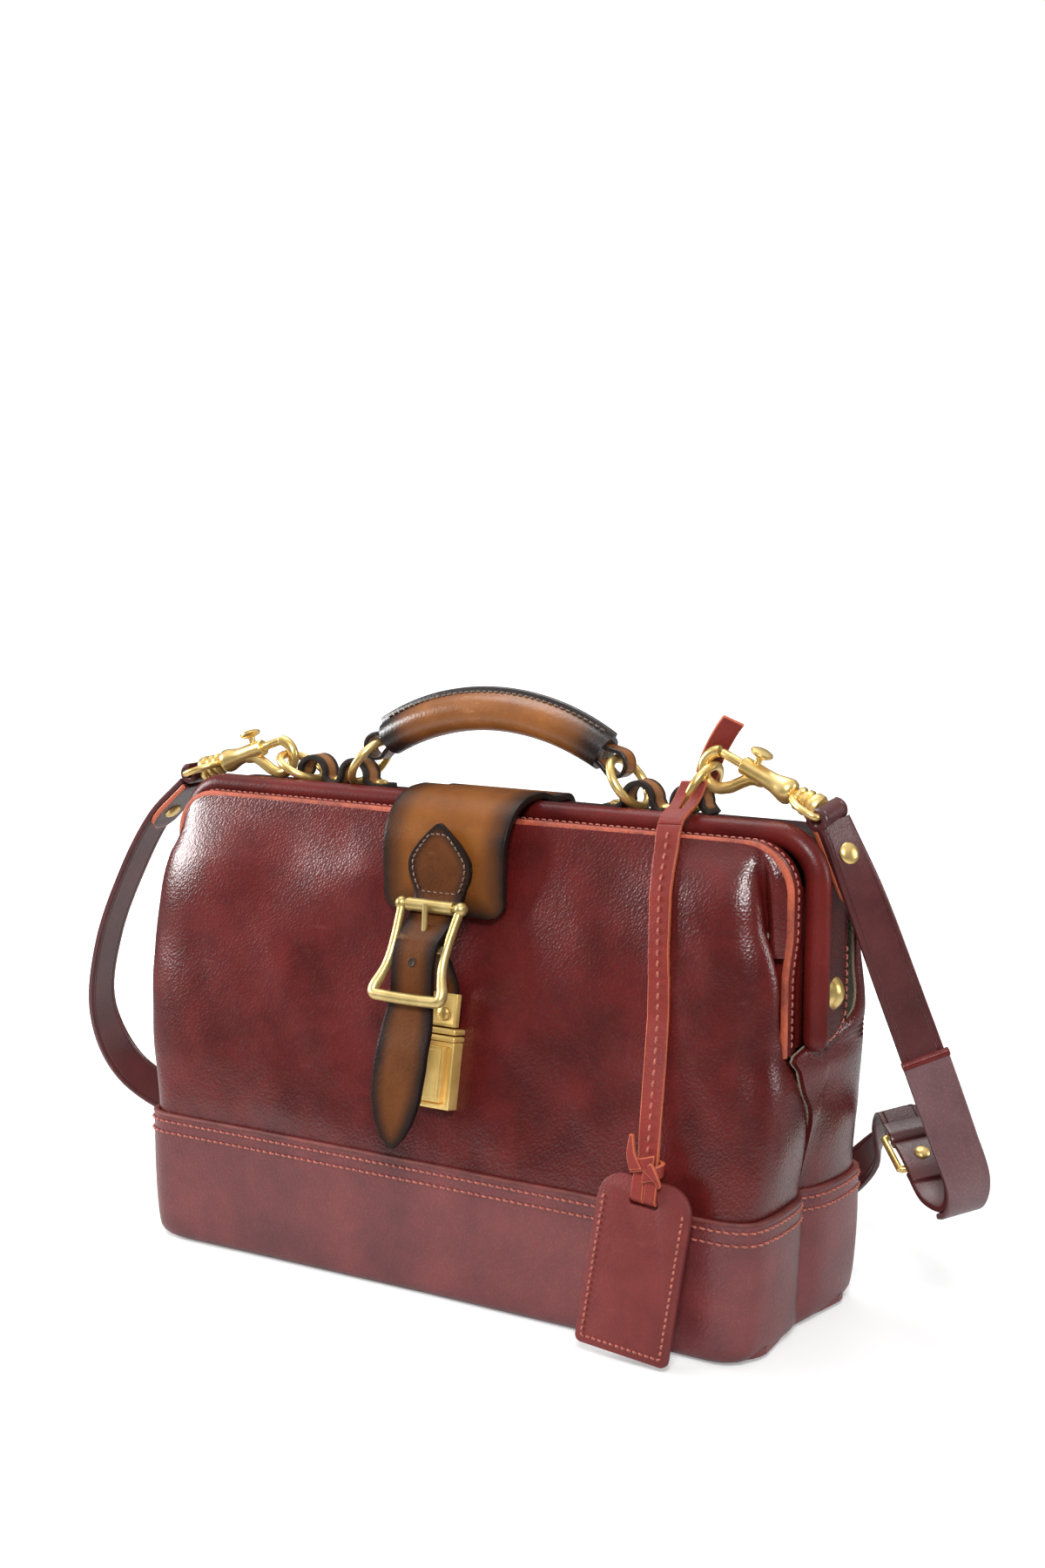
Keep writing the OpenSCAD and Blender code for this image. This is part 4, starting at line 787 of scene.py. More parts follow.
# sewn strip between the pleat and the jaw's edge, right end only: (middle, edge)
cornerTuck = {
    168: [(156.8, -27.6), (162.4, -25.6)], 180: [(157.8, -28.6), (162.4, -25.6)],
    192: [(157.4, -28.8), (162.4, -25.6)], 203: [(156.4, -28.2), (160.5, -25.6)],
    208: [(154.2, -27.2), (157.2, -25.6)], 212: [(150.8, -26.3), (152.6, -25.6)],
    214.4: [(146, -25.7), (147.2, -25.6)],
}
backRows = {
    46: [(0, 53.6), (50, 53.8), (100, 53.9), (138, 54), (152, 53.4), (159.5, 48.5), (162.3, 38),
         (162.6, 22), (161, 9), (157, 0.4)],
    62: [(0, 53.6), (50, 53.8), (100, 53.9), (138, 54), (152, 53.5), (160.5, 48.6), (163.8, 38), (164, 22),
         (161.6, 9), (157, 0.4)],
    90: [(0, 48), (50, 48.6), (100, 49.4), (137, 50.6), (154, 50.4), (164, 46), (168.4, 36.5), (169, 21),
         (166.8, 9), (163.4, -1)],
    100: [(0, 45.8), (50, 46.4), (100, 47.3), (137, 48.7), (154.5, 48.6), (165, 44.3), (169.8, 35),
          (170.6, 21), (169, 8), (166.2, -6)],
    110: [(0, 43.6), (50, 44.2), (100, 45.2), (137, 46.8), (155, 46.8), (166, 42.6), (170.8, 33.5),
          (171.8, 21), (170, 5), (166.8, -14)],
    119: [(0, 41.6), (50, 42.2), (100, 43.2), (136.5, 44.8), (155, 44.8), (166.2, 40.8), (171.4, 32.6),
          (172.8, 22), (170.8, 3), (166.7, -18)],
    126: [(0, 40), (50, 40.6), (100, 41.6), (136, 43.2), (155, 43.2), (166.4, 39.4), (171.8, 32),
          (173.4, 24.5), (170.6, 5), (166, -20.5)],
    133: [(0, 38.3), (50, 38.9), (100, 39.9), (135.5, 41.4), (154.8, 41.4), (166.5, 38), (172, 31.5),
          (174, 25), (173, 17.5), (170, 10)],
    140: [(0, 36.7), (50, 37.3), (100, 38.2), (135, 39.6), (154.5, 39.6), (166.5, 36.6), (172.2, 31),
          (174.4, 25.5), (174.6, 21.5), (173.4, 19)],
    158: [(0, 32.6), (50, 33.1), (98, 33.8), (132, 34.8), (152, 34.8), (164.3, 32.6), (170.8, 28.4),
          (173.4, 24), (174, 21), (173.4, 19)],
    182: [(0, 27.3), (50, 27.6), (96, 28.1), (130, 28.6), (149.5, 28.6), (161.5, 27.1), (168.2, 24.6),
          (171.6, 22), (172.8, 20.4), (173.2, 19.2)],
    203: [(0, 22.7), (50, 22.8), (94, 23), (128, 23.2), (146, 23.1), (157, 22.6), (163.2, 21.6),
          (167.2, 20.6), (169.4, 19.8), (170.6, 19.3)],
    213: [(0, 20.6), (48, 20.6), (88, 20.7), (120, 20.7), (138, 20.6), (149.5, 20.4), (156, 20),
          (160, 19.7), (162.4, 19.5), (163.8, 19.3)],
    217.6: [(0, 19.7), (46, 19.7), (84, 19.7), (112, 19.7), (130, 19.7), (141, 19.6), (147.6, 19.5),
            (152, 19.4), (154.6, 19.3), (156, 19.2)],
}
bandRows = {
    0.6: [(0, -50.5), (50, -51), (100, -51.5), (134, -52), (146, -51.6), (152.6, -47.5), (155, -39),
          (155.4, -23), (155, -10), (154.2, -0.2)],
    2.6: [(0, -53.4), (50, -54), (100, -54.6), (136, -55.4), (149, -55), (156.2, -50.4), (158.6, -40),
          (158.8, -23), (158.2, -10), (156.8, -0.2)],
    6: [(0, -54.6), (50, -55.2), (100, -55.9), (137, -56.9), (151, -56.6), (158.8, -51.4), (161, -40),
        (161, -23), (160, -10), (157.6, -0.2)],
    20: [(0, -55.6), (50, -56), (100, -56.3), (138, -57.1), (152.6, -56.8), (161, -51.4), (163.2, -40),
         (163.2, -23), (161.6, -10), (157.6, -0.2)],
    42: [(0, -55.9), (50, -56.1), (100, -56.2), (138, -56.7), (153.4, -56.3), (162.2, -51), (165, -40),
         (165.2, -23), (163, -9.6), (157.6, -0.2)],
    61.6: [(0, -55.8), (50, -56), (100, -56.1), (138, -56.6), (153.6, -56.1), (162.2, -50.9), (165, -40),
           (165.2, -23), (163.2, -9.6), (158.2, -0.2)],
}

bodyLook = dict(rowStep=2.3, halfColumns=74, tuckColumns=10,
                leather=dict(inset=0, thick=2.0), lining=dict(inset=2.5, thick=0.7))
creaseLook = dict(broad=1.5, small=0.5, diagonal=0.45, calmHalf=38)
# soft swellings of the front leather: (x, z, spread, height)
swellings = [(-138, 178, 21, 5.2), (-98, 153, 18, 2.6), (-54, 181, 14, 2.4), (-66, 120, 20, 1.8),
             (70, 160, 22, 1.4), (-120, 96, 26, 1.2)]


def rowAt(table, z):
    keys = sorted(table)
    return [curveAt(keys, [Vector(table[k][i]) for k in keys], z) for i in range(len(table[keys[0]]))]


def halfRow(control, count):                     # closer columns towards the bag's end
    keys = lengths(control)
    return [curveAt(keys, control, keys[-1] * (1 - (1 - i / (count - 1)) ** 1.7)) for i in range(count)]


def fullRow(table, z, count):
    right = rowAt(table, z)
    left = rowAt(frontLeftRows, z) if table is frontRows else right
    return [Vector((-p.x, p.y)) for p in reversed(halfRow(left, count)[1:])] + halfRow(right, count)


def creased(p, z):                               # broad dents and soft wrinkles of the front and back
    calm = share(abs(p.x) / creaseLook["calmHalf"]) if 70 < z < 170 and p.y < 0 else 1
    fade = share((212 - z) / 26) * share((z - 56) / 16)
    broad = noise.noise(Vector((p.x / 66 + (3 if p.y > 0 else 0), z / 52, 1.7)))
    small = noise.noise(Vector((p.x / 21 + z / 60, z / 30, 4.2)))
    diagonal = noise.noise(Vector(((p.x + 0.7 * z) / 17, (z - 0.5 * p.x) / 58, 9.1)))
    pillow = 0
    if p.y < 0:
        pillow = sum(h * math.exp(-((p.x - x) ** 2 + (z - w) ** 2) / (2 * r * r)) for x, w, r, h in swellings)
    return fade * (calm * (creaseLook["broad"] * broad + pillow) + creaseLook["small"] * small
                   + creaseLook["diagonal"] * calm * diagonal)


def shellPoints(table, zs):
    rows = []
    for z in zs:
        row = fullRow(table, z, bodyLook["halfColumns"])
        last = len(row) - 1
        out = []
        for j, p in enumerate(row):
            a, b = row[max(j - 1, 0)], row[min(j + 1, last)]
            normal = Vector((b.y - a.y, a.x - b.x)).normalized()
            if table is backRows:
                normal.negate()
            p = p + normal * creased(p, z) * share(min(j, last - j) / 10)
            out.append(Vector((p.x, p.y, z)))
        rows.append(out)
    return rows


def heights(table, *keep):                       # even heights from a table's lowest row to its highest
    spots = [min(table), *keep, max(table)]
    out = []
    for low, high in zip(spots, spots[1:]):
        count = round((high - low) / bodyLook["rowStep"])
        out += [low + (high - low) * i / count for i in range(count)]
    return out + spots[-1:]


def shell(name, points, faces, layer):           # moved in by its inset, then made thick towards the inside
    piece = newMesh(name, points, faces)
    if layer["inset"]:
        editAll(piece)
        bpy.ops.transform.shrink_fatten(value=-layer["inset"] * mm)
        bpy.ops.object.mode_set(mode="OBJECT")
    modify(piece, "SOLIDIFY", thickness=layer["thick"] * mm, offset=-1)
    smooth(piece, 60)
    return piece


def frontShell(name, layer):
    tuckLow, tuckColumns = min(cornerTuck), bodyLook["tuckColumns"]
    zs = heights(frontRows, tuckLow)
    rows = shellPoints(frontRows, zs)
    columns = len(rows[0])
    points = [p for row in rows for p in row]
    faces = gridFaces(len(rows), columns)
    before = None
    for i, z in enumerate(zs):
        if z < tuckLow:
            continue
        line = smoothRun([rows[i][-1]] + [(p.x, p.y, z) for p in rowAt(cornerTuck, z)], tuckColumns)
        start = len(points)
        points += line[1:]
        now = [i * columns + columns - 1] + list(range(start, len(points)))
        if before:
            faces += [(before[k], before[k + 1], now[k + 1], now[k]) for k in range(tuckColumns - 1)]
        before = now
    return shell(name, points, faces, layer)


def backShell(name, layer):
    rows = [row[::-1] for row in shellPoints(backRows, heights(backRows))]
    return shell(name, [p for row in rows for p in row], gridFaces(len(rows), len(rows[0])), layer)


frontBody = frontShell("frontLeather", bodyLook["leather"])
dress(frontBody, bodyLeather, None, ["front_panel", "front_panel_top"])
frontBlend(frontBody)
backBody = backShell("backLeather", bodyLook["leather"])
dress(backBody, bodyLeather, "bag", ["back_panel"])
frontLining = frontShell("frontLining", bodyLook["lining"])
dress(frontLining, liningCloth, None, ["lining"])
frontBlend(frontLining)
backLining = backShell("backLining", bodyLook["lining"])
dress(backLining, liningCloth, "bag")

# inner end walls behind the open seams
gussetLook = dict(x=146.5, low=12, high=150, lowHalf=43, highHalf=19, bulge=3, thick=1.2, rows=13, columns=11)
gussets = []
for sign in bagEnds.values():
    points = []
    for i in range(gussetLook["rows"]):
        t = i / (gussetLook["rows"] - 1)
        half = gussetLook["lowHalf"] + (gussetLook["highHalf"] - gussetLook["lowHalf"]) * t
        z = gussetLook["low"] + (gussetLook["high"] - gussetLook["low"]) * t
        for j in range(gussetLook["columns"]):
            w = 2 * j / (gussetLook["columns"] - 1) - 1
            x = gussetLook["x"] - gussetLook["bulge"] * (1 - w * w) * math.sin(math.pi * t)
            points.append((sign * x, half * w, z))
    gussets.append(newMesh("gusset", points, gridFaces(gussetLook["rows"], gussetLook["columns"])))
endGussets = join("endGussets", gussets)
modify(endGussets, "SOLIDIFY", thickness=gussetLook["thick"] * mm, offset=0)
outward(endGussets)
smooth(endGussets, 60)
dress(endGussets, bodyLeather, "bag")
print("leather body lofted")


# base band: rolled lower edge, raw upper edge, two rows of stitches and a closed base

bandLook = dict(heights=[0.6, 1.1, 1.8, 2.6, 3.8, 6, 9, 13, 18, 25, 33, 42, 50, 56, 59.5, 61, 61.6],
                halfColumns=56, thick=2.0, baseThick=1.6, baseHigh=0.7, baseLow=0.15, baseInset=1.2,
                edgeZ=62.0,
                edge=[(0.35, -0.9), (0.4, -0.1), (0.1, 0.35), (-1.2, 0.55), (-2.2, 0.2), (-2.3, -0.9)],
                stitchRows=(58.6, 53.2), stitch=dict(pitch=3.7, length=3.0, thick=1.15, slant=0.14))


def ringOuts(ring):                              # directions that point out of a closed ring
    return [Vector((b.y - a.y, a.x - b.x, 0)).normalized()
            for a, b in zip(ring[-1:] + ring[:-1], ring[1:] + ring[:1])]


def bandRing(z):
    front = fullRow(bandRows, z, bandLook["halfColumns"])
    return [Vector((p.x, p.y, z)) for p in front] + [Vector((p.x, -p.y, z)) for p in reversed(front)]


points = []
for z in bandLook["heights"]:
    wave = share((z - 8) / 12) * (1 if z > 50 else 0.4)
    points += [p + zWay * rippled(*p) * wave for p in bandRing(z)]
columns = 2 * (2 * bandLook["halfColumns"] - 1)
baseBand = newMesh("baseBand", points, gridFaces(len(bandLook["heights"]), columns, closed=True))
modify(baseBand, "SOLIDIFY", thickness=bandLook["thick"] * mm, offset=-1)
smooth(baseBand, 60)
dress(baseBand, bandLeather, "bag", ["base_band"])

ring = bandRing(bandLook["baseHigh"])
rim = [p - n * bandLook["baseInset"] for p, n in zip(ring, ringOuts(ring))]
basePanel = newMesh("basePanel", rim + [Vector((p.x * 0.9, p.y * 0.86, bandLook["baseLow"])) for p in rim],
                    gridFaces(2, columns, closed=True) + [tuple(range(columns, 2 * columns))])
modify(basePanel, "SOLIDIFY", thickness=bandLook["baseThick"] * mm, offset=1)
outward(basePanel)
dress(basePanel, bandLeather, "bag", ["base_panel"])

ring = bandRing(max(bandRows))
outs = ringOuts(ring)
points = []
for p, n in zip(ring, outs):
    middle = Vector((p.x, p.y, bandLook["edgeZ"] + rippled(p.x, p.y, 60)))
    points += [middle + n * a + zWay * b for a, b in bandLook["edge"]]
faces = gridFaces(columns + 1, len(bandLook["edge"]), closed=True)
bandRawEdge = newMesh("bandRawEdge", points, [tuple(v % len(points) for v in face) for face in faces])
outward(bandRawEdge)
smooth(bandRawEdge, 60)
dress(bandRawEdge, bandEdgeLeather, "bag")
for k, z in enumerate(bandLook["stitchRows"]):
    path = [p + n * 0.25 for p, n in zip(bandRing(z), outs)]
    seam = stitchRun("bandStitches.%d" % k, path + path[:1], outs + outs[:1], bandLook["stitch"])
    dress(seam, redThread, "bag")
print("base band made")


# frame: front jaw's binding and raw rim, leather roll and covered back jaw; sections are (y, outwards)

frameLook = dict(
    binding=[(-22.2, -0.6), (-21.6, 0), (-16.2, 0), (-15.5, -0.6), (-15.5, -11.6), (-16.1, -12.2),
             (-21.8, -12.2), (-22.4, -11.6), (-22.4, -3)],
    rim=[(-25.9, -2.2), (-26.1, -0.5), (-25.6, 0.3), (-24.6, 0.45), (-23.8, 0.2), (-23.6, -0.5),
         (-23.6, -2.2)],
    cover=[(-5.4, -2.6), (-5.2, -1.2), (-4.2, -0.2), (-2.5, 0.05), (4, 0.1), (12, 0.1), (15.6, 0),
           (16.6, -0.6), (16.8, -1.6), (16.7, -3.4), (15.8, -4), (-3, -4), (-4.8, -3.6)],
    coverSeam=[(14.2, 168), (14.4, 150), (13.6, 139), (9, 133.6), (2, 130.6), (-2.5, 129.8)], coverSlant=7,
    facing=dict(x=161.9, half=0.5, front=-15.8, back=-9.6, low=128, high=196, bevel=0.4),
    stitch=dict(pitch=3.4, length=2.7, thick=0.9), rimSlant=0.1)


def archSweep(name, look, section, y=0):
    line, out = archPath(look["half"], look["top"], look["corner"], look["foot"])
    return sweep(name, [Vector((p.x, y, p.z)) for p in line], [yWay] * len(line), out, section)


def splay(piece):                                # the jaw's arms stand wider above the hinge
    for v in piece.data.vertices:
        q = share((v.co.z / mm - 156) / 24)
        v.co.x *= 1 + jaw["splay"] * q * q * (3 - 2 * q)


binding = archSweep("frontBinding", jaw, frameLook["binding"])
splay(binding)
smooth(binding, 45)
dress(binding, rollLeather, "front_jaw", ["front_binding"])
rawRim = archSweep("rawRim", jaw, frameLook["rim"])
splay(rawRim)
smooth(rawRim, 60)
dress(rawRim, orangeEdge, "front_jaw")
line, out = archPath(jaw["half"], jaw["top"], jaw["corner"], jaw["foot"] + 3)
rimStitches = stitchRun("rimStitches", [Vector((p.x, -20.4, p.z)) + n * 0.15 for p, n in zip(line, out)], out,
                        dict(frameLook["stitch"], slant=frameLook["rimSlant"]))
splay(rimStitches)
dress(rimStitches, redThread, "front_jaw")
facings = []                                     # leather seen between the jaw's arms and the roll
for sign in bagEnds.values():
    look = frameLook["facing"]
    x = sign * look["x"]
    facings.append(block("facing", (x - look["half"], look["front"], look["low"]),
                         (x + look["half"], look["back"], look["high"]), look["bevel"]))
armFacings = join("jawArmFacings", facings)
smooth(armFacings)
dress(armFacings, rollLeather, "front_jaw")

rollRing = [spotOn(roll["radius"], 360 * k / 22) for k in range(22)]
frameRoll = archSweep("frameRoll", roll, rollRing, roll["y"])
for v in frameRoll.data.vertices:                # rounded lower ends
    low = share((roll["foot"] + 2 - v.co.z / mm) / 2)
    middle = math.copysign(roll["half"], v.co.x) * mm
    v.co.x += (middle - v.co.x) * 0.45 * low
    v.co.y += (roll["y"] * mm - v.co.y) * 0.45 * low
smooth(frameRoll, 60)
dress(frameRoll, rollLeather, "bag", ["frame_roll"])
frameCover = archSweep("frameCover", cover, frameLook["cover"])
for v in frameCover.data.vertices:               # lower ends rise towards the back
    v.co.z += frameLook["coverSlant"] * mm * share((150 - v.co.z / mm) / 24) * share((v.co.y / mm + 2) / 18)
smooth(frameCover, 45)
dress(frameCover, coverLeather, "bag", ["back_frame_cover"])
for side, sign in bagEnds.items():
    path = smoothRun([(sign * (cover["half"] + 0.3), y, z) for y, z in frameLook["coverSeam"]], 30)
    seam = stitchRun("coverStitches." + side, path, [xWay * sign] * len(path), frameLook["stitch"])
    dress(seam, redThread, "bag")
print("frame covered")


# flap with its burnished edge, and the closure strap with a dark disc painted as the shade of its hole; side
# views are (y, z)

flapLook = dict(half=32, thick=3.0, bottomRound=8, bend=24.5, rings=90,
                back=[(20.9, 201), (21.6, 212), (20.4, 218.2), (17.2, 220.9), (10, 220.95), (3.5, 221.2),
                      (-1.5, 222.8), (-6, 223.9), (-13, 223.8)],
                front=[(-37.6, 190), (-37.5, 181), (-37.4, 172)])
flapBend = [spotOn(flapLook["bend"], q) for q in range(100, 181, 10)]
flapSide = flapLook["back"] + [(a - 13, b + 199.3) for a, b in flapBend] + flapLook["front"]
flapPath = smoothRun([(0, y, z) for y, z in flapSide], flapLook["rings"])


def flapHalf(s, total):
    r = flapLook["bottomRound"]
    left = total - s
    pull = 0 if left >= r else r - math.sqrt(max(r * r - (r - left) ** 2, 0))
    return flapLook["half"] - pull + 0.6 * math.sin(s / total * 3.1)


flap = ribbon("flapLeather", flapPath, xWay, flapHalf, flapLook["thick"], reach=15, across=33, bevel=0.8)
dress(flap, flapLeather, None, ["flap_crown", "flap_front"])
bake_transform(flap)

# half widths are (run, half) from the spade's tip, and counted back from the point
closureLook = dict(
    thick=2.5, rings=110, holeRing=49,
    side=[(-40.55, 213), (-40.55, 205), (-40.55, 196), (-40.55, 183), (-42.2, 177.6), (-46.8, 171.6),
          (-53.4, 166), (-58.9, 161.6), (-61.6, 153), (-62.7, 139.4), (-66, 127), (-70.6, 115), (-76.2, 92),
          (-78.8, 75)],
    spade=[(0, 0.8), (3, 4.6), (8, 10), (13, 14.2), (17, 16.3), (21, 16.5), (25, 15.6), (29, 13.6),
           (33, 12.5), (46, 11.6), (58, 10.8), (82, 10.8), (95, 12.6)],
    point=[(36, 13.3), (22, 12.6), (12, 9.8), (5, 5.8), (0, 1.2)],
    hole=[(0, 2.1), (0.35, 2.1), (0.5, 1.7), (0.25, 1.3), (0.1, 0.4)])
closurePath = smoothRun([(0, y, z) for y, z in closureLook["side"]], closureLook["rings"])


def closureHalf(s, total):
    steps = closureLook["spade"] + [(total - back, w) for back, w in closureLook["point"]]
    for (a, p), (b, q) in zip(steps, steps[1:]):
        if s <= b:
            return p + (q - p) * (s - a) / (b - a)
    return steps[-1][1]


closure = ribbon("closureStrap", closurePath, xWay, closureHalf, closureLook["thick"], reach=8, across=25,
                 bevel=0.6)
dress(closure, closureLeather, "flap", ["closure_strap"])
# the hole is a dark disc on the strap's face: painted shade in place of an opening
hole = turned("strapHole", closureLook["hole"], sides=20, axis="Z")
before, spot, after = closurePath[closureLook["holeRing"] - 1:closureLook["holeRing"] + 2]
facing = (after - before).cross(xWay).normalized()
facing = facing if facing.y < 0 else -facing
stand(hole, spot + facing * 1.2, facingTurn(facing))
smooth(hole)
dress(hole, darkLeatherAndHoleShade, "flap")
print("flap and closure strap made")


# handle: grip with its sewn fin

gripLook = dict(arc=117, mid=259, halfAngle=30, y=4, radius=8.5,
                fin=[(-1.45, 1.9), (-1.3, 3.4), (-0.6, 3.9), (0.6, 3.9), (1.3, 3.4), (1.45, 1.9)],
                stitch=dict(pitch=3.2, length=2.6, thick=0.8))
section = [spotOn(1, 90 - a) for a in range(14, 347, 12)]
points, edge, finPath = [], [], []
for q in range(-gripLook["halfAngle"], gripLook["halfAngle"] + 1):
    b, a = spotOn(1, q)
    middle = Vector((gripLook["arc"] * a, gripLook["y"], gripLook["mid"] - gripLook["arc"] * (1 - b)))
    up = Vector((a, 0, b))
    towardsEnd = abs(q) / gripLook["halfAngle"]
    r = gripLook["radius"] * (1.03 - 0.07 * towardsEnd ** 3)
    for a, b in section:
        points.append(middle - yWay * (r * a) + up * (r * b))
        edge.append(max((towardsEnd - 0.55) / 0.45, 0) + max(b - 0.85, 0) * 1.5)
    for a, b in gripLook["fin"]:
        points.append(middle - yWay * a + up * (r - 1.6 + b * 1.1))
        edge.append(1.2)
    finPath.append(middle - yWay * 1.75 + up * 9.2)
count = len(section) + len(gripLook["fin"])
faces = gridFaces(len(finPath), count, closed=True)
faces += [tuple(range(count)), tuple(range(len(points) - count, len(points)))]
grip = newMesh("handleGrip", points, faces)
setAttribute(grip, "edge", edge)
outward(grip)
smooth(grip, 50)
dress(grip, gripLeather, "handle", ["handle_grip"])
finPath = finPath[2:-2]
finSeam = stitchRun("gripStitches", finPath, [Vector((0, -1, 0.25))] * len(finPath), gripLook["stitch"])
dress(finSeam, brownThread, "handle")
print("handle made")


# stitches round the closure's spade and across its foot

patchLook = dict(pitch=2.9, length=2.3, thick=0.75, slant=0.1, y=-41.95, inset=2.6)
rightSide = [(closureHalf(s, 200) - patchLook["inset"], 213 - s) for s in range(5, 27, 3)]
leftSide = [(-x, z) for x, z in reversed(rightSide)]
for name, run, count in (("patchStitches", [(-10.4, 182.6)] + leftSide + rightSide + [(10.4, 182.6)], 60),
                         ("patchFootStitches", [(-9.5, 182.4), (0, 182.2), (9.5, 182.4)], 12)):
    path = smoothRun([(x, patchLook["y"], z) for x, z in run], count)
    dress(stitchRun(name, path, [-yWay] * count, patchLook), brownThread, "flap")
print("patch sewn")


# snap hooks: nose, barrel and bell; sliding bolt; swivel eye

hookLook = dict(
    bar=2.65, boltZ=7.25, knobX=14.4, eyeWire=1.62, noseRings=56,
    neck=[(7.6, -4.4), (10, -1.6), (12.6, 1.4), (15.6, 4.0), (19.5, 5.6)], neckSwell=[1.04, 1.1, 1.2, 1.25],
    barrel=[(8.6, 3.5), (9.2, 4.05), (22, 4.05), (25, 4.2), (28, 4.9), (30.5, 5.6), (32.6, 5.8), (34.2, 5.2),
            (35, 4.2), (35.4, 2.6)],
    rod=[(-2.6, 1.5), (-1.9, 2.0), (14, 2.0), (15, 1.4)],
    stem=[(2.6, 1.7), (5.6, 1.5), (6.6, 1.8), (7, 3.2), (7.6, 4.5), (8.5, 5.1), (9.4, 4.8), (10, 3.4),
          (10.3, 1.2)],
    collar=[(35, 2.4), (36.6, 2.6), (37, 4.6), (37.8, 5.3), (38.8, 5.3), (39.6, 4.4), (40.4, 4.4),
            (41.2, 5.7), (42.6, 5.8), (43.4, 4.8), (44.2, 4.8), (44.6, 6.0), (45.2, 6.3), (47.8, 6.3),
            (48.4, 5.9), (48.5, 3)],
    eyeCorner=[(52.1, 10.4), (51.7, 11.6), (50.6, 12.1)])
hookPlaces = {"right": ((115.471, 4, 240.021), (0, 25, 0)), "left": ((-125.243, 4, 230.552), (0, 20, 180))}
for side, (place, turn) in hookPlaces.items():
    lift = (0, 0, hookLook["boltZ"])
    noseRings = hookLook["noseRings"]
    nose = [spotOn(8, q) for q in range(116, 312, 8)] + hookLook["neck"]
    swell = [1.0] * (len(nose) - len(hookLook["neckSwell"])) + hookLook["neckSwell"]
    keys = list(range(len(swell)))
    swell = [curveAt(keys, swell, keys[-1] * i / (noseRings - 1)) for i in range(noseRings)]
    bar = bentBar("nose", smoothRun([(x, 0, z) for x, z in nose], noseRings), hookLook["bar"], swell=swell)
    barrel = stand(turned("barrel", hookLook["barrel"]), lift)
    body = stand(join("hookBody." + side, [bar, barrel]), place, turn)
    smooth(body)
    dress(body, brassMetal, side + "_hook", [side + "_hook_body"])

    rod = turned("rod", hookLook["rod"], sides=20)
    stem = stand(turned("stem", hookLook["stem"], axis="Z"), (hookLook["knobX"], 0, 0))
    bolt = stand(stand(join("hookBolt." + side, [rod, stem]), lift), place, turn)
    smooth(bolt)
    dress(bolt, brassMetal, side + "_bolt", [side + "_hook_bolt"])

    collar = turned("collar", hookLook["collar"])
    bow = [(48.1 + a, b) for a, b in (spotOn(12.1, q) for q in range(90, 271, 10))]
    bow += [(x, -y) for x, y in reversed(hookLook["eyeCorner"])] + hookLook["eyeCorner"]
    ring = bentBar("ring", [(x, y, 0) for x, y in bow], hookLook["eyeWire"], closed=True)
    eye = stand(stand(join("hookEye." + side, [collar, ring]), lift), place, turn)
    smooth(eye)
    dress(eye, brassMetal, side + "_eye", [side + "_hook_eye"])
print("snap hooks made")


# ring straps with their screws, and the handle's end loops; side views are (x, z)

ringStrapLook = dict(thick=2.5, y=4, seat=220.45, start=(59.4, 63), tunnels=(77.5, 102), tunnelZ=224.4,
                     radius=7.6, screwAt=(-89.75, -64.9, 64.9, 89.75), screwZ=221.65,
                     screw=[(0, 3.5), (0.5, 3.6), (1.1, 3.1), (1.6, 2.1), (1.85, 0.7)])


def ringStrapHalf(s, total):                     # slightly uneven edges
    return 5.7 + 0.35 * math.sin(s / 5.0)


seat, nearTunnel = ringStrapLook["seat"], ringStrapLook["tunnels"][0]
run = [(x, seat) for x in ringStrapLook["start"]] + [(66.5, seat + 0.05)]
for x in ringStrapLook["tunnels"]:
    arch = [spotOn(ringStrapLook["radius"], q) for q in range(191, -12, -16)]
    run += [(x + a * 0.97, ringStrapLook["tunnelZ"] + b) for a, b in arch]
    run += [(x + flat, seat + 0.1) for flat in ((10, 14.6) if x == nearTunnel else (10.6,))]
for side, sign in bagEnds.items():
    path = smoothRun([(sign * x, ringStrapLook["y"], z) for x, z in run], 90)
    strap = ribbon("ringStrap." + side, path, yWay, ringStrapHalf, ringStrapLook["thick"], reach=4.2,
                   across=11)
    dress(strap, ringStrapLeather, "bag", [side + "_ring_strap"])
heads = []
for x in ringStrapLook["screwAt"]:
    head = turned("screw", ringStrapLook["screw"], sides=22, axis="Z")
    heads.append(stand(head, (x, ringStrapLook["y"], ringStrapLook["screwZ"])))
screws = join("ringStrapScrews", heads)
smooth(screws)
dress(screws, brassMetal, "bag", ["ring_strap_screws"])

gripLoopLook = dict(half=4.6, thick=2.0, radius=5.7, ring=(64.995, 239.575), lean=-30,
                    leg=[(-9, 3.4), (-5, 4.4), (-1.5, 5.45)])
bend = [spotOn(gripLoopLook["radius"], q) for q in range(80, -91, -17)]
turnRun = gripLoopLook["leg"] + bend + [(u, -v) for u, v in reversed(gripLoopLook["leg"])]
ringX, ringZ = gripLoopLook["ring"]
dx, dz = spotOn(1, gripLoopLook["lean"])
loops = []
for sign in bagEnds.values():
    path = smoothRun([(sign * (ringX + dx * u - dz * v), 4, ringZ + dz * u + dx * v) for u, v in turnRun], 48)
    loops.append(ribbon("gripLoop", path, yWay, gripLoopLook["half"], gripLoopLook["thick"], reach=2.6,
                        across=9, ends=(False, False)))
gripLoops = join("gripLoops", loops)
dress(gripLoops, gripLeather, "handle", ["handle_loops"])
print("ring straps and loops made")


# buckle: waisted frame with a flared keeper bar

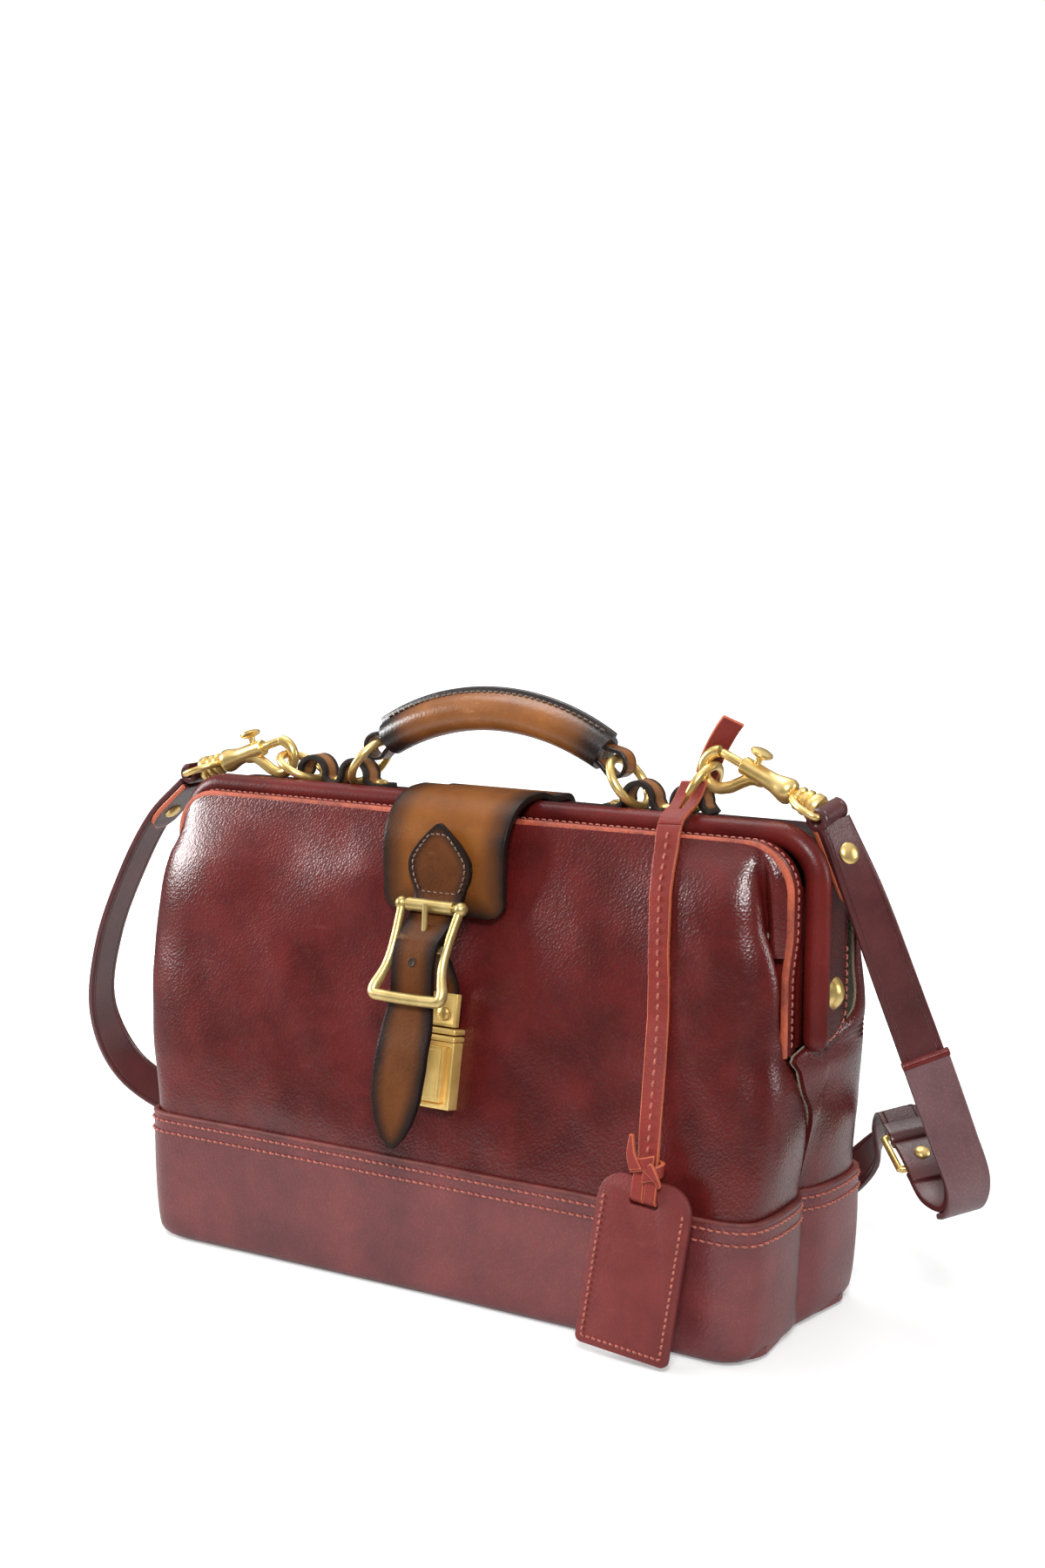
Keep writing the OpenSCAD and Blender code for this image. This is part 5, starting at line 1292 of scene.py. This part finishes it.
buckleLook = dict(
    roller=(-47.5, 177), keeper=(-66.5, 141), middle=(-53.4, 159.4), wire=2.1, rings=96,
    waist=[(0, 15.6), (0.15, 15.0), (0.35, 14.4), (0.55, 14.2), (0.7, 14.8), (0.84, 16.4), (0.95, 18)],
    lip=[(17.6, -0.6, -1.1), (12, -0.9, -1.7), (0, -1, -1.9)],
    ball=[(-2.9, 0.9), (-2.3, 2.1), (-1.1, 3.0), (0, 3.25), (1.1, 3.0), (2.3, 2.1), (2.9, 0.9)])
ry, rz = buckleLook["roller"]
ky, kz = buckleLook["keeper"]
rightHalf = [(x, ry + (ky - ry) * t, rz + (kz - rz) * t) for t, x in buckleLook["waist"]]
rightHalf += [(x, ky + y, kz + z) for x, y, z in buckleLook["lip"]]
rings = buckleLook["rings"]
wire = smoothRun(rightHalf + [(-x, y, z) for x, y, z in reversed(rightHalf[:-1])], rings)
swell = [1 + 0.22 * share((23 - abs(i - (rings - 1) / 2)) / 7) for i in range(rings)]
parts = [bentBar("frame", wire, buckleLook["wire"], swell=swell)]
for name, half, place, radius in (("topBar", 15.6, buckleLook["roller"], 1.9),
                                  ("middleBar", 13.2, buckleLook["middle"], 2.0)):
    parts.append(bentBar(name, [(-half, *place), (half, *place)], radius))
for x in (-15.8, 15.8):
    parts.append(stand(turned("ball", buckleLook["ball"], sides=22), (x, ry, rz)))
buckleFrame = join("buckleFrame", parts)
smooth(buckleFrame, 45)
dress(buckleFrame, antiqueBrass, "flap", ["buckle_frame"])
print("buckle made")


# lock: stepped box with ridges, press plate, the clip above it and the leather leg up to the buckle

lockLook = dict(half=14.5, height=36, deep=7.5, place=(0, -45.94, 105), turn=(-10.755, 0, 0),
                rivet=[(0, 3), (0.5, 3.1), (1.1, 2.5), (1.5, 1.3), (1.6, 0.4)],
                leg=[(-49.6, 156), (-45.5, 148.5), (-42.2, 140.9), (-43.4, 133), (-44.8, 126.2)], legRings=50)


def insetFront(piece, border, rise, bevel):      # panel on the front face, sunk or raised, then rounded edges
    pick(piece)
    bpy.ops.object.mode_set(mode="EDIT")
    bpy.ops.mesh.select_all(action="DESELECT")
    bpy.ops.object.mode_set(mode="OBJECT")
    for face in piece.data.polygons:
        face.select = face.normal.y < -0.9
    bpy.ops.object.mode_set(mode="EDIT")
    bpy.ops.mesh.inset(thickness=border * mm, depth=0)
    bpy.ops.mesh.extrude_region_move(TRANSFORM_OT_translate={"value": -yWay * rise * mm})
    bpy.ops.object.mode_set(mode="OBJECT")
    roundEdges(piece, bevel)


def standOnLock(piece):
    stand(piece, lockLook["place"], lockLook["turn"])
    smooth(piece)


w, h, d = lockLook["half"], lockLook["height"] / 2, lockLook["deep"]
case = block("case", (-w, -d, -h), (w, 0, h - 6.2))
insetFront(case, border=2.2, rise=-1.2, bevel=0.8)
ridges = [block("ridge", (-w - 0.7, -d - 1.3, z), (w + 0.7, 0, z + 2.5), 0.9) for z in (h - 6.1, h - 2.9)]
lockBox = join("lockBox", [case] + ridges)
standOnLock(lockBox)
dress(lockBox, lockBrass, "bag", ["lock_box", "lock_rivets"])
plate = block("pressPlate", (-w + 3.4, -d - 2.7, -h + 3.2), (w - 3.4, -d + 3, h - 8.4))
insetFront(plate, border=1.6, rise=0.5, bevel=0.7)
standOnLock(plate)
dress(plate, lockBrass, "lock_plate", ["lock_press_plate"])
clip = block("claspClip", (-w + 0.8, -7.2, h + 0.4), (w - 0.8, -4, h + 15))
insetFront(clip, border=1.5, rise=-0.5, bevel=0.6)
head = stand(turned("clipRivet", lockLook["rivet"], sides=22, axis="Z"), (6.5, -6.6, h + 6), (90, 0, 0))
claspClip = join("claspClip", [clip, head])
standOnLock(claspClip)
dress(claspClip, lockBrass, "flap", ["clasp_clip", "clip_rivet"])
my, mz = buckleLook["middle"]
legRun = [(my + a, mz + b) for a, b in (spotOn(3.6, q) for q in range(150, -31, -20))] + lockLook["leg"]
legPath = smoothRun([(0, y, z) for y, z in legRun], lockLook["legRings"])
leg = ribbon("buckleLeg", legPath, xWay, half=10.6, thick=2.0, reach=4)
dress(leg, closureLeather, "flap", ["buckle_leg"])
print("lock made")


# name tag: plate with a stitched border, strap hung from the right ring, knot

tagLook = dict(width=44, height=74, thick=3, shoulder=12, foot=3.2, place=(119, -62, 77), turn=(-9, 5, 0),
               slot=((-6.6, -4, -11.6), (6.6, 4, -8.2)), seam=3.2,
               stitch=dict(pitch=2.8, length=2.2, thick=1.1, slant=0.12),
               strapStitch=dict(pitch=4.4, length=3.2, thick=1.15, slant=0.14))


def tagOutline(inset):
    w, h, r, foot = tagLook["width"] / 2, tagLook["height"], tagLook["shoulder"], tagLook["foot"]
    line = []
    for cx, cz, size, q in ((w - r, -r, r, 90), (w - foot, -h + foot, foot, 0),
                            (-w + foot, -h + foot, foot, -90), (-w + r, -r, r, -180)):
        arc = [spotOn(size - inset, q - 90 * k / 8) for k in range(9)]
        line += [(cx + a, cz + b) for a, b in arc]
    return line


tagEdge = tagOutline(0)
tag = newMesh("tagPlate", [(x, 0, z) for x, z in tagEdge], [tuple(range(len(tagEdge)))])
modify(tag, "SOLIDIFY", thickness=tagLook["thick"] * mm, offset=0)
slot = block("tagSlot", *tagLook["slot"], 1.2)
modify(tag, "BOOLEAN", object=slot, operation="DIFFERENCE", solver="EXACT")
bpy.data.objects.remove(slot)
outward(tag)
roundEdges(tag, 0.6, segments=2, angle=50)
stand(tag, tagLook["place"], tagLook["turn"])
smooth(tag)
dress(tag, tagLeather, "bag", ["tag_plate"])
border = [p for p in tagOutline(tagLook["seam"]) if p[1] < -9]
start = max(range(len(border)), key=lambda k: border[k][1] + (50 if border[k][0] > 0 else 0))
seamPath = smoothRun([(x, -1.6, z) for x, z in border[start:] + border[:start]], 120)
tagSeam = stitchRun("tagStitches", seamPath, [-yWay] * len(seamPath), tagLook["stitch"])
stand(tagSeam, tagLook["place"], tagLook["turn"])
dress(tagSeam, redThread, "bag")

tagRoute = [(107, -10.75, 238, 0.92, 0.4, 0), (107, -11.2, 230, 0.95, 0.3, 0), (107, -15, 225.3, 1, 0.2, 0),
            (107, -23, 221, 1, 0.1, 0), (108, -28.6, 213, 1, 0.1, 0), (109, -32.2, 196, 1, 0, 0),
            (111, -37.4, 172, 1, 0, 0), (113, -43.4, 149, 0.97, 0.2, 0), (115, -50, 124, 0.95, 0.3, 0),
            (117, -57, 100, 0.97, 0.2, 0), (118.6, -61.6, 84, 1, 0, 0), (119, -63.6, 78, 1, 0, 0)]
tagLine, tagSides, tagUps = strapLine(tagRoute, 120)


def frontAt(x, z):                               # how far forward the front leather stands at a place
    row = [p for p in fullRow(frontRows, z, bodyLook["halfColumns"]) if 0 < p.x < 135]
    near = min(row, key=lambda p: abs(p.x - x))
    return near.y - max(creased(near, z), 0)


def tagHalf(s, total):                           # narrower below
    return 5.5 - 0.8 * min(s / 60, 1)


for p in tagLine:
    if 66 < p.z < 212:
        p.y = min(p.y, frontAt(p.x, p.z) - 1.9)
fork, rimAt = 11, 18                             # rings of the line at the split and on the jaw's rim
strands = []
for sign in (-1, 1):
    line = []
    for k in range(fork + 1):
        p = tagLine[k + 2] + tagSides[k + 2] * sign * (2.9 + 0.05 * (fork - k))
        line.append(p + yWay * 7.5 * (1 - k / fork) ** 2)
    strands.append(ribbon("strand", line, tagSides[2:], half=2.3, thick=2.2, reach=1.3, across=7,
                          ends=(True, False)))
strands.append(ribbon("strand", tagLine[fork:rimAt + 1], tagSides[fork:], half=5.5, thick=2.3, reach=1.3,
                      across=9, ends=(False, False)))
tagStrands = join("tagStrands", strands)
dress(tagStrands, tagStrapLeather, None)
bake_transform(tagStrands)
tagLine, tagSides, tagUps = tagLine[rimAt:], tagSides[rimAt:], tagUps[rimAt:]
tagStrap = ribbon("tagStrap", tagLine, tagSides, tagHalf, thick=2.3, reach=1.3, across=9, ends=(False, False))
dress(tagStrap, tagStrapLeather, None, ["tag_strap"])
frontBlend(tagStrap)
outside = [u if u.y < 0 or (abs(u.y) < 0.3 and u.z > 0) else -u for u in tagUps[2:]]
seamPath = [p + u * 1.25 for p, u in zip(tagLine[2:], outside)]
tagStrapSeam = stitchRun("tagStrapStitches", seamPath, outside, tagLook["strapStitch"])
dress(tagStrapSeam, redThread, None)
frontBlend(tagStrapSeam)
freeEnd = smoothRun([(106.6, 8, 236), (108.4, 9, 243), (111.4, 9.8, 250), (115.4, 10.4, 257),
                     (118.4, 10.6, 261)], 20)
tagTail = ribbon("tagStrapEnd", freeEnd, Vector((0.72, 0.55, -0.42)).normalized(), half=5.0, thick=2.2,
                 reach=1.3, across=9)
dress(tagTail, tagStrapLeather, "right_hook")

# knot above the tag: one turn round the strap, two pointed tails, two strands through the slot
knotLook = dict(turns=1.12, rings=41, middle=(118.8, -63, 79.5), wide=6.8, deep=3.7, rise=5.5, tilt=1.2,
                tails=[(2.9, (1, 0, 0.2), [(116, -67.3, 82), (113.4, -66.8, 88), (112.6, -65, 96)]),
                       (2.6, (0.7, 0, 0.7), [(121, -66.6, 84), (124.4, -66.8, 80), (126.6, -66, 75.6)])])
knot = []
for k in range(knotLook["rings"]):
    t = k / (knotLook["rings"] - 1)
    q = math.tau * knotLook["turns"] * t
    around = Vector((knotLook["wide"] * math.sin(q), -knotLook["deep"] * math.cos(q),
                     knotLook["rise"] * t + knotLook["tilt"] * math.sin(q)))
    knot.append(Vector(knotLook["middle"]) + around)
knotWay = Vector((0.1, 0.1, 1)).normalized()
knotParts = [ribbon("tagKnot", knot, knotWay, half=2.9, thick=2.0, reach=1.0, across=7)]
for wide, way, run in knotLook["tails"]:
    knotParts.append(ribbon("tail", smoothRun(run, 14), Vector(way),
                            lambda s, total: wide * (1 - 0.75 * s / total), thick=1.8, reach=1.0, across=7))
for x in (-3.0, 3.0):
    run = [(x * 0.9, -2.6, 5.5), (x, -2.9, 0), (x, -2.6, -5), (x, -2.0, -8.6), (x, 0.4, -10)]
    strand = ribbon("strand", smoothRun(run, 18), xWay, half=2.75, thick=1.8, reach=1.0, across=7,
                    ends=(False, False))
    knotParts.append(stand(strand, tagLook["place"], tagLook["turn"]))
tagKnot = join("tagKnot", knotParts)
dress(tagKnot, tagStrapLeather, "bag")
tagLine[0] * mm
[p * mm for p in tagLine]
print("tag hung")


# finish of the solids that stay as they are

slotFinish = {"brass": brassMetal, "steel": steelStrip, "dark_leather": darkLeatherAndHoleShade,
              "cognac_leather": closureLeather, "raw_edge_leather": closureLeather,
              "maroon_leather": tagLeather, "base_board": bandLeather,
              "lining_cloth": liningCloth, "cord_core": liningCloth}
slots = {part["node"]: part["material_slot"] for part in frame["record"]["subparts"]}
for name, node in nodes.items():
    material = slotFinish.get(slots.get(name))
    if material is brassMetal and name.startswith(("lock", "clasp", "clip", "buckle")):
        material = antiqueBrass
    if material:
        dress(node, material)
print("solids finished")


# floor and studio light

studio = dict(floorSize=12, floorColour=(0.7, 0.7, 0.7), mirroredFloor=(0.12, 0.12, 0.12),
              fill=0.45, sheen=0.05, ceiling=0.75, target=(0, 0, 0.14))
bpy.ops.mesh.primitive_plane_add(size=studio["floorSize"], location=(0, 0, 0))
floor = bpy.context.object
floor.name = "floor"
f = Finish(bpy.data.materials.new("floor"))
cameraRay = f.add("ShaderNodeLightPath", out="Is Camera Ray")
glossRay = f.add("ShaderNodeLightPath", out="Is Glossy Ray")
away = f.add("ShaderNodeVectorMath", {"operation": "LENGTH"}, {0: f.place}, out="Value")
far = f.window(away, 0.3, 0.75)
floorTone = f.blend(glossRay * far, studio["floorColour"], studio["mirroredFloor"])
ground = f.add("ShaderNodeBsdfDiffuse", None, {"Color": floorTone})
glow = cameraRay * (0.3 + 0.7 * f.window(away, 0.25, 0.7))
lit = f.add("ShaderNodeEmission", None, {"Color": (1, 1, 1), "Strength": glow})
f.add("ShaderNodeOutputMaterial", None, {"Surface": f.add("ShaderNodeAddShader", None, {0: ground, 1: lit})})
floor.data.materials.append(f.owner)

# plain fill; mirrored rays see a dark room with a bright ceiling, the camera sees white
world = bpy.data.worlds.new("studio")
bpy.context.scene.world = world
f = Finish(world, "Generated")
cameraRay = f.add("ShaderNodeLightPath", out="Is Camera Ray")
glossRay = f.add("ShaderNodeLightPath", out="Is Glossy Ray")
height = f.add("ShaderNodeSeparateXYZ", None, {0: f.place}, out="Z")
mirrored = studio["sheen"] + studio["ceiling"] * f.window(height, 0.25, 0.8)
strength = studio["fill"] + glossRay * (mirrored - studio["fill"])
strength = strength + cameraRay * (1.0 - strength)
backdrop = f.add("ShaderNodeBackground", None, {"Color": (1, 1, 1), "Strength": strength})
f.add("ShaderNodeOutputWorld", None, {"Surface": backdrop})

# soft boxes: place, power, width, height
lamps = dict(leftBox=((-1.5, -0.55, 0.64), 26, 0.65, 0.55), cameraBox=((0.75, -1.2, 1.12), 24, 0.44, 0.4),
             rightBox=((1.3, 0.65, 0.45), 6, 0.4, 0.6), topBox=((-0.35, 0.2, 1.5), 12, 1.2, 0.8))
for name, (place, power, wide, high) in lamps.items():
    data = bpy.data.lights.new(name, "AREA")
    data.shape = "RECTANGLE"
    data.size, data.size_y = wide, high
    data.energy = power
    lamp = bpy.data.objects.new(name, data)
    bpy.context.scene.collection.objects.link(lamp)
    lamp.location = place
    lamp.rotation_euler = (Vector(studio["target"]) - Vector(place)).to_track_quat("-Z", "Y").to_euler()
print("studio lit")
